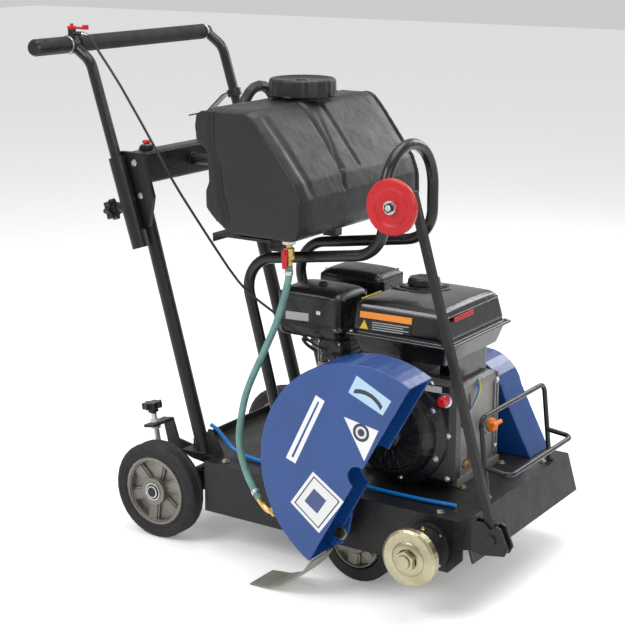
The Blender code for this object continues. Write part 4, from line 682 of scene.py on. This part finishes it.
def tank_form(co, normal):
    """Creases and panels of the blow-moulded tank: each adds to deep, which is how far the surface sinks."""
    p = co - SHIFT
    deep = 0.0
    sloping = step(normal.x, 0.20, 0.50)
    down = (0.888 - p.z) / 0.163                       # 0 at the top of the front, 1 where the V meets
    for y0, y1, wide, depth in ((-0.045, -0.066, 0.0060, 0.0036), (-0.012, -0.066, 0.0065, 0.0034)):
        off = abs(p.y - (y0 + (y1 - y0) * down))
        groove = 1.0 - step(off, 0.0, wide * (1.2 - 0.5 * down))
        deep += depth * sloping * groove * step(down, -0.05, 0.10) * (1.0 - step(down, 0.88, 1.0))
    flank = 1.0 - step(abs(p.y + 0.188 - 0.010 * down), 0.0, 0.016)
    deep += 0.0034 * sloping * flank * step(down, 0.0, 0.15) * (1.0 - step(down, 0.75, 1.05))
    close = max(0.0, 1.0 - (0.225 - abs(p.y)) / 0.050)
    flat = 1.0 - step(abs(normal.y), 0.55, 0.95)
    round_off = 1.0 - math.sqrt(max(0.0, 1.0 - close ** 2))
    deep += 0.015 * round_off * flat * step(normal.x + normal.z, 0.0, 0.4)
    if abs(normal.y) > 0.5:
        line = 0.158 - 0.016 * step(p.z, 0.76, 0.83) + 0.020 * (1.0 - step(p.z, 0.66, 0.76))
        deep += 0.0055 * (1.0 - step(abs(p.x - line), 0.002, 0.011)) * step(p.z, 0.655, 0.69)
    if normal.z > 0.6:
        for y0, y1 in ((-0.050, -0.066), (0.010, -0.040)):
            valley = 1.0 - step(abs(p.y - y0), 0.002, 0.010)
            deep += 0.0030 * valley * step(p.x, 0.205, 0.235)
    seam = (1.0 - step(abs(p.x - 0.150), 0.0006, 0.0026)) * step(abs(normal.y) + abs(normal.z), 0.7, 0.9)
    wobble = noise.noise(p * 16.0) * 0.0010 + noise.noise(p * 7.0) * 0.0012
    return co - normal * (deep + 0.0012 + wobble - 0.0011 * seam)


skinned("water_tank", 0.0032, 9, tank_plastic, tank_form)
lathe("neck_flange", [(0.0495, 0.0), (0.0600, 0.0), (0.0610, 0.0020), (0.0600, 0.0040), (0.0495, 0.0050)],
      CAP - Z * 0.0015, Z, tank_plastic, "chassis", 64)
cap = lathe("cap_body", [(0.0, 0.0340), (0.052, 0.0350), (0.058, 0.0385), (0.0625, 0.0385),
                         (0.0655, 0.0360), (0.0668, 0.0310),
                         (0.0672, 0.0060), (0.0655, 0.0035), (0.0500, 0.0035), (0.0500, 0.0300),
                         (0.0, 0.0300)],
            CAP, Z, black_plastic, "tank_cap", 144, waves=(24, 0.011))
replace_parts(cap, "tank_cap")
lathe("cap_boss", [(0.0, 0.0372), (0.010, 0.0370), (0.012, 0.0340), (0.0, 0.0340)], CAP, Z, black_plastic,
      "tank_cap", 40)
blocks("cap_tab", [((CAP_X + 0.055, CAP_Y - 0.007, 0.8945), (CAP_X + 0.078, CAP_Y + 0.007, 0.8985)),
                   ((CAP_X + 0.006, CAP_Y - 0.079, 0.8945), (CAP_X + 0.022, CAP_Y - 0.055, 0.8985))],
       black_plastic, "tank_cap", 0.0015)
lathe("valve_collar", [(0.0104, 0.0), (0.0140, 0.0), (0.0140, 0.0055), (0.0104, 0.0055)],
      at(VALVE_X, VALVE_Y, 0.6425), Z, steel, "chassis", 6)
lathe("valve_hex", [(0.0106, 0.0), (0.0122, 0.0), (0.0122, 0.0060), (0.0106, 0.0060)],
      at(VALVE_X, VALVE_Y, 0.6135), Z, brass, "chassis", 6)
for name, point, way in (("upper_clip", at(0.2996, -0.1954, 0.5865), Vector((-0.06, -0.01, -1))),
                         ("lower_clip", at(0.280, -0.2832, 0.168), Vector((0.68, -0.21, -0.7)))):
    lathe(name, [(0.0071, -0.004), (0.0082, -0.004), (0.0085, 0.0), (0.0082, 0.004), (0.0071, 0.004)],
          point, way, steel, "chassis", 32)

barb = [at(0.2895, -0.2860, 0.1585), at(0.302, -0.2872, 0.1470), at(0.316, -0.2895, 0.1405),
        at(0.3345, -0.2920, 0.1440)]
tube("hose_elbow", smooth(barb, 8), 0.0058, brass, "guard", 6)
lathe("elbow_nut", [(0.0058, 0.0), (0.0100, 0.0), (0.0100, 0.0075), (0.0058, 0.0075)],
      at(0.326, -0.2912, 0.1420), Vector((1, -0.1, 0.25)), brass, "guard", 6)

# ---------------------------------------------------------------- engine
def dome(height, centre, half):
    """Lifts the top of a lid a little in the middle."""
    def form(co, normal):
        p = co - SHIFT
        if normal.z > 0.3 and p.z > centre[2]:
            u = min(1.0, abs(p.x - centre[0]) / half[0])
            v = min(1.0, abs(p.y - centre[1]) / half[1])
            return co - Z * height * (1.0 - (1.0 - u ** 3) * (1.0 - v ** 3))
        return co
    return form


skinned("fuel_tank", 0.0018, 4, engine_black, dome(0.006, (0.494, 0.0, 0.520), (0.110, 0.125)))
skinned("air_cleaner", 0.0022, 14, shroud_black, dome(0.009, (0.297, -0.0725, 0.510), (0.080, 0.062)))
skinned("muffler", 0.0022, 16, shroud_black, dome(0.008, (0.287, 0.088, 0.515), (0.080, 0.060)))

TANK_CAP = at(0.452, 0.055, 0.0)
arcs = bmesh.new()
for reach, first, last, wide in ((0.044, -150, 30, 0.0055), (0.064, -140, -10, 0.0040)):
    steps = 28
    for n in range(steps):
        a0, a1 = (math.radians(first + (last - first) * (n + k) / steps) for k in (0, 1))
        quad = [TANK_CAP + Vector((r * math.cos(a), r * math.sin(a), 0.5336)) for r, a in
                ((reach - wide, a0), (reach + wide, a0), (reach + wide, a1), (reach - wide, a1))]
        prism(arcs, quad, (0, 0, 0.0022))
bmesh.ops.remove_doubles(arcs, verts=arcs.verts, dist=1e-5)
from_shape("tank_ribs", arcs, black_plastic, "chassis")
fuel_cap = lathe("fuel_cap_grip", [(0.0, 0.0130), (0.010, 0.0130), (0.016, 0.0150), (0.0270, 0.0150),
                                   (0.0310, 0.0125), (0.0325, 0.0020),
                                   (0.0300, 0.0), (0.0250, 0.0), (0.0250, 0.0110), (0.0, 0.0110)],
                 TANK_CAP + Z * 0.5345, Z, black_plastic, "fuel_cap", 96, waves=(8, 0.05))
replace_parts(fuel_cap, "fuel_cap")
lathe("fuel_neck_ring", [(0.0246, 0.0), (0.0345, 0.0), (0.0345, 0.003), (0.0320, 0.0045), (0.0246, 0.0045)],
      TANK_CAP + Z * 0.5290, Z, engine_black, "chassis", 64)


def side_label(name, corners, y, finish):
    """A sticker on a face that looks to -Y."""
    slab(name, [[at(x, y, z) for x, z in corners]], (0, -0.0008, 0), finish, "chassis")


def tank_label(name, corners, finish, thick=0.0010):
    """A sticker on the fuel tank's near side, which leans in towards its top."""
    outline = [at(x, -0.1252 + (z - 0.466) * 0.116, z) for x, z in corners]
    slab(name, [outline], (0, -thick, 0.0), finish, "chassis")


tank_label("label_band", [(0.413, 0.512), (0.526, 0.5135), (0.526, 0.5015), (0.413, 0.500)], label_orange)
tank_label("label_block", [(0.436, 0.4975), (0.526, 0.4990), (0.526, 0.4800), (0.436, 0.4785)],
           shroud_black)
tank_label("label_mark", [(0.4235, 0.4965), (0.4325, 0.4795), (0.4140, 0.4790)], label_yellow)
for n in range(4):
    z = 0.4950 - n * 0.0044
    tank_label(f"label_rule_{n}", [(0.441, z), (0.521 - 0.012 * (n % 2), z + 0.0012),
                                   (0.521 - 0.012 * (n % 2), z - 0.0006), (0.441, z - 0.0018)],
               label_grey, 0.0014)
blocks("tank_strip", [((0.403, -0.100, 0.5300), (0.4055, -0.030, 0.5318))], label_yellow, "chassis")
front_label = [at(x, y, z) for x, y, z in ((0.5965, -0.088, 0.5180), (0.5965, -0.012, 0.5180),
                                           (0.5985, -0.012, 0.5090), (0.5985, -0.088, 0.5090))]
slab("front_plate", [front_label], (0.0012, 0, 0.0003), red_plastic, "chassis", 0.0004)
bolts("tank_flange_bolts", [at(x, y, 0.4690)
                            for x, y in ((0.394, -0.122), (0.602, -0.122), (0.602, 0.119), (0.394, 0.119))],
      Z, 0.0050, steel, "chassis", washer=False)

cleaner = at(0.297, -0.0725, 0.0)
lathe("cleaner_recess", [(0.0, 0.0), (0.016, 0.0), (0.019, 0.003), (0.021, 0.003), (0.021, -0.002),
                         (0.0, -0.002)],
      cleaner + Z * 0.5365, Z, black_plastic, "chassis", 48)
lathe("cleaner_nut", [(0.0, 0.007), (0.006, 0.007), (0.009, 0.005), (0.010, 0.0), (0.0, 0.0)],
      cleaner + Z * 0.5375, Z, black_plastic, "chassis", 32)
side_label("cleaner_label", [(0.246, 0.4905), (0.300, 0.4925), (0.300, 0.4765), (0.246, 0.4745)], -0.1288,
           label_grey)
side_label("cleaner_mark", [(0.318, 0.5000), (0.327, 0.5000), (0.327, 0.4930), (0.318, 0.4930)], -0.1288,
           label_white)
bolts("muffler_bolts", [at(x, y, 0.5385) for x in (0.226, 0.350) for y in (0.048, 0.128)], Z, 0.0042, steel,
      "chassis", washer=False)

tilt = Matrix.Translation(at(0.505, 0, 0.288)) @ Matrix.Rotation(math.radians(20), 4, "Y")
fins = [((x, -0.0665, -0.063), (x + 0.0022, 0.0705, 0.063)) for x in (-0.212 + 0.0125 * n for n in range(10))]
blocks("cylinder_fins", fins, crankcase, "chassis", 0.0006, tilt)
bolts("head_bolts", [tilt @ Vector((-0.2505, y, z)) for y in (-0.045, 0.049) for z in (-0.036, 0.036)],
      tilt.to_3x3() @ -X, 0.0062, steel, "chassis")
plug = tilt @ Vector((-0.292, 0.003, 0))
lead = smooth([plug, tilt @ Vector((-0.306, -0.004, 0.004)), tilt @ Vector((-0.306, -0.034, 0.016)),
               tilt @ Vector((-0.270, -0.066, 0.026)),
               tilt @ Vector((-0.200, -0.078, 0.030)), tilt @ Vector((-0.130, -0.082, 0.016))], 8)
tube("plug_lead", lead, 0.0034, rubber, "chassis", 4)

# crankcase: its seam, ribs and bolts, the oil spout's ring and cap, and the drain plug
blocks("case_seam", [((0.4105, 0.0985, 0.196), (0.5995, 0.1035, 0.368))], crankcase, "chassis", 0.0016)
case_ribs = [((0.5975, y, 0.205), (0.6020, y + 0.0045, 0.352)) for y in (-0.058, -0.020, 0.082)]
blocks("case_ribs", case_ribs, crankcase, "chassis", 0.001)
bolts("case_bolts", [at(0.5982, y, z)
                     for y, z in ((-0.070, 0.215), (0.094, 0.215), (-0.070, 0.352), (0.094, 0.352),
                                  (-0.070, 0.285))],
      X, 0.0062, steel, "chassis")
lathe("spout_ring", [(0.0130, 0.0), (0.0160, 0.0), (0.0165, 0.003), (0.0130, 0.005)],
      at(0.6030, 0.045, 0.2700), Vector((0.027, 0, 0.012)), crankcase, "chassis", 40)
lathe("dipstick_cap", [(0.0, 0.0095), (0.010, 0.0095), (0.0132, 0.007), (0.0134, 0.0012), (0.0, 0.0012)],
      at(0.612, 0.045, 0.274), Vector((0.027, 0, 0.012)), orange_plastic, "oil_dipstick", 64, waves=(6, 0.06))
lathe("drain_plug", [(0.0, 0.0), (0.009, 0.0), (0.009, 0.006), (0.0, 0.007)], at(0.5985, -0.035, 0.214), X,
      brass, "chassis", 6)

# recoil starter: louvres, boss, rings and bolts, a blank plate beside it and the rope's bush
HUB = at(0.505, -0.1600, 0.292)
louvres = bmesh.new()
for row, (r0, r1, count) in enumerate(((0.030, 0.046, 14), (0.050, 0.066, 18))):
    for n in range(count):
        a = 2 * math.pi * (n + 0.5 * row) / count
        outline = []
        for r, d in ((r0, -0.055), (r1, -0.010), (r1, 0.045), (r0, 0.0)):
            outline.append(HUB + Vector((r * math.cos(a + d), 0.0006, r * math.sin(a + d))))
        prism(louvres, outline, (0, -0.0030, 0))
from_shape("recoil_louvres", louvres, shroud_black, "chassis", 0.0006)
lathe("recoil_boss", [(0.0, 0.0065), (0.016, 0.0060), (0.022, 0.0035), (0.024, -0.001), (0.0, -0.001)], HUB,
      -Y, shroud_black, "chassis", 64)
lathe("recoil_ring", [(0.0680, -0.003), (0.0725, -0.003), (0.0715, 0.0022), (0.0690, 0.0022)], HUB, -Y,
      shroud_black, "chassis", 96)
ring_lines = bmesh.new()
for n in range(7):
    low = -0.044 - n * 0.0050
    lathe(None, [(0.1072, low), (0.1094, low - 0.0008), (0.1094, low - 0.0024), (0.1072, low - 0.0032)],
          HUB, -Y, None, None, 96, ring_lines)
from_shape("recoil_ribs", ring_lines, shroud_black, "chassis")
bolts("recoil_bolts", [HUB + Vector((0.093 * math.cos(a), 0.0278, 0.093 * math.sin(a)))
                       for a in (math.radians(d) for d in (35, 95, 155, 215, 275, 335))],
      -Y, 0.0058, steel, "chassis")
bolts("side_bolts", [at(x, -0.1264, z)
                     for x, z in ((0.612, 0.215), (0.612, 0.300), (0.575, 0.396), (0.520, 0.396))],
      -Y, 0.0052, steel, "chassis")
side_label("recoil_plate", [(0.556, 0.392), (0.596, 0.392), (0.596, 0.380), (0.556, 0.380)], -0.1262,
           label_grey)
rope = at(0.470, -0.1625, 0.398)
lathe("rope_bush", [(0.0, 0.0), (0.013, 0.0), (0.013, 0.002), (0.010, 0.003), (0.0, 0.003)],
      rope - Vector((0, -0.55, 0.835)) * 0.0035, (0, -0.55, 0.835), black_plastic, "chassis", 40)

# switch plate, wires below the fuel tank, carburettor screws and the governor's spring
lathe("switch_plate", [(0.0102, 0.0), (0.0140, 0.0), (0.0140, 0.0015), (0.0102, 0.0022)],
      at(0.604, -0.1263, 0.368), -Y, steel, "chassis", 40)
for name, finish, jog in (("wire_one", wire_green, 0.0), ("wire_two", label_yellow, 0.0045),
                          ("wire_three", wire_blue, -0.0045)):
    run = smooth([at(0.6120, -0.110 + jog, 0.378), at(0.6205 + jog * 0.3, -0.100 + jog, 0.372),
                  at(0.6235, -0.090 + jog, 0.350),
                  at(0.6190, -0.082 + jog, 0.322), at(0.6120, -0.066 + jog, 0.305),
                  at(0.6070, -0.040 + jog * 0.6, 0.318),
                  at(0.6070, -0.012 + jog * 0.6, 0.336), at(0.6040, 0.010 + jog, 0.356),
                  at(0.596, 0.018 + jog, 0.372)], 6)
    tube(name, run, 0.0014, finish, "chassis", 3)
blocks("wire_clip", [((0.598, -0.070, 0.300), (0.6165, -0.058, 0.312))], black_plastic, "chassis", 0.0015)
bolts("carb_screws", [at(x, -0.1002, z) for x, z in ((0.307, 0.432), (0.353, 0.432), (0.330, 0.396))], -Y,
      0.0036, brass, "chassis", False)
spring = [at(0.318 + 0.0030 * math.cos(n * 0.8), -0.1100 + 0.0030 * math.sin(n * 0.8), 0.420 - n * 0.00045)
          for n in range(80)]
tube("governor_spring", spring, 0.0005, steel, "chassis", 2)

# ---------------------------------------------------------------- belt cover, guard, arbor and guide arm
bolts("cover_bolts", [at(x, 0.2342, z) for x, z in ((0.446, 0.200), (0.612, 0.200), (0.505, 0.345))], Y,
      0.0070, steel, "chassis")
pivot = at(0.45997, 0, 0.11805)
TILT, MIDDLE = math.radians(60.5), Vector((0.542, 0, 0.267))
turns = [TILT + math.pi * n / 48 for n in range(49)]
rim = [MIDDLE + 0.2085 * Vector((math.cos(a), 0, math.sin(a))) for a in turns]
notch = [MIDDLE + 0.041 * Vector((math.cos(a), 0, math.sin(a)))
         for a in (TILT + math.pi * (1 - n / 20) for n in range(21))]
slab("guard_inner_plate", [[at(p.x, -0.2610, p.z) for p in [*rim, *notch]]], (0, 0.0026, 0), guard_blue,
     "guard")
lathe("guard_pivot_washer", [(0.0064, 0.0), (0.0135, 0.0), (0.0135, 0.0016), (0.0064, 0.0016)],
      pivot + Y * -0.2605, -Y, zinc, "guard", 40)
lathe("flange_dome", [(0.0186, 0.0), (0.0330, 0.0), (0.0300, 0.0022), (0.0240, 0.0036), (0.0186, 0.0038)],
      at(ARBOR_X, -0.3030, ARBOR_Z), -Y, zinc, "arbor", 64)
lathe("arbor_washer", [(0.0129, 0.0), (0.0200, 0.0), (0.0200, 0.0009), (0.0129, 0.0009)],
      at(ARBOR_X, -0.3060, ARBOR_Z), -Y, shroud_black, "arbor", 48)
grease = at(ARBOR_X, -0.2500, 0.1582)
lathe("grease_nipple", [(0.0, 0.0), (0.0042, 0.0), (0.0042, 0.003), (0.0022, 0.004), (0.0028, 0.007),
                        (0.0, 0.008)],
      grease, Z, brass, "chassis", 24)
bolts("housing_bolts", [at(ARBOR_X + 0.041 * math.cos(a), -0.2357, ARBOR_Z + 0.041 * math.sin(a))
                        for a in (math.radians(d) for d in (45, 135, 225, 315))],
      -Y, 0.0040, steel, "chassis", washer=False)
ARM_LEAN = math.radians(16.3)
tip = at(ARM_X, 0, ARM_Z) + Vector((-math.sin(ARM_LEAN), 0, math.cos(ARM_LEAN))) * ARM_LENGTH


def wheel_spot(y):
    """A place on the guide wheel's axis."""
    return Vector((tip.x, at(0, y, 0).y, tip.z))


lathe("wheel_washer", [(0.0054, 0.0), (0.0120, 0.0), (0.0120, 0.0012), (0.0054, 0.0012)], wheel_spot(-0.3242),
      -Y, steel, "guide_wheel", 40)
bolts("wheel_bolt", [wheel_spot(-0.3256)], -Y, 0.0088, steel, "guide_arm", washer=False)
lathe("wheel_flutes", [(0.0325, 0.0034), (0.0345, 0.0056), (0.0470, 0.0056), (0.0488, 0.0034)],
      wheel_spot(-0.316), -Y, red_plastic, "guide_wheel", 72)

# ---------------------------------------------------------------- floor and light
floor_shape = bmesh.new()
bmesh.ops.create_grid(floor_shape, x_segments=2, y_segments=2, size=14.0)
floor_mesh = bpy.data.meshes.new("floor")
floor_shape.to_mesh(floor_mesh)
floor_shape.free()
floor = bpy.data.objects.new("floor", floor_mesh)
pale = Finish("floor_pale", (0.86, 0.86, 0.86), 0.75, vary=0.01, grain=(0.02, 60.0), soft=0.0)
pale.shader.inputs["Emission Color"].default_value = (1.0, 1.0, 1.0, 1.0)
pale.shader.inputs["Emission Strength"].default_value = 0.20
floor_mesh.materials.append(pale.material)
SCENE.collection.objects.link(floor)

world = bpy.data.worlds.new("studio")
world.use_nodes = True
world.node_tree.nodes["Background"].inputs["Color"].default_value = (1.0, 1.0, 1.0, 1.0)
world.node_tree.nodes["Background"].inputs["Strength"].default_value = 0.60
SCENE.world = world
LAMP_TARGET = Vector((0, 0, 0.45))
for name, place, size, power in (("key", (-1.2, -2.6, 3.0), 1.8, 80.0), ("fill", (2.9, -1.2, 1.9), 1.4, 26.0),
                                 ("top", (0.3, 0.4, 3.2), 2.2, 60.0), ("rim", (0.6, 2.8, 1.8), 1.4, 26.0)):
    lamp = bpy.data.lights.new(name, "AREA")
    lamp.size, lamp.energy = size, power
    light = bpy.data.objects.new(name, lamp)
    light.location = place
    light.rotation_euler = (LAMP_TARGET - Vector(place)).to_track_quat("-Z", "Y").to_euler()
    SCENE.collection.objects.link(light)
SCENE.view_settings.view_transform = "Standard"
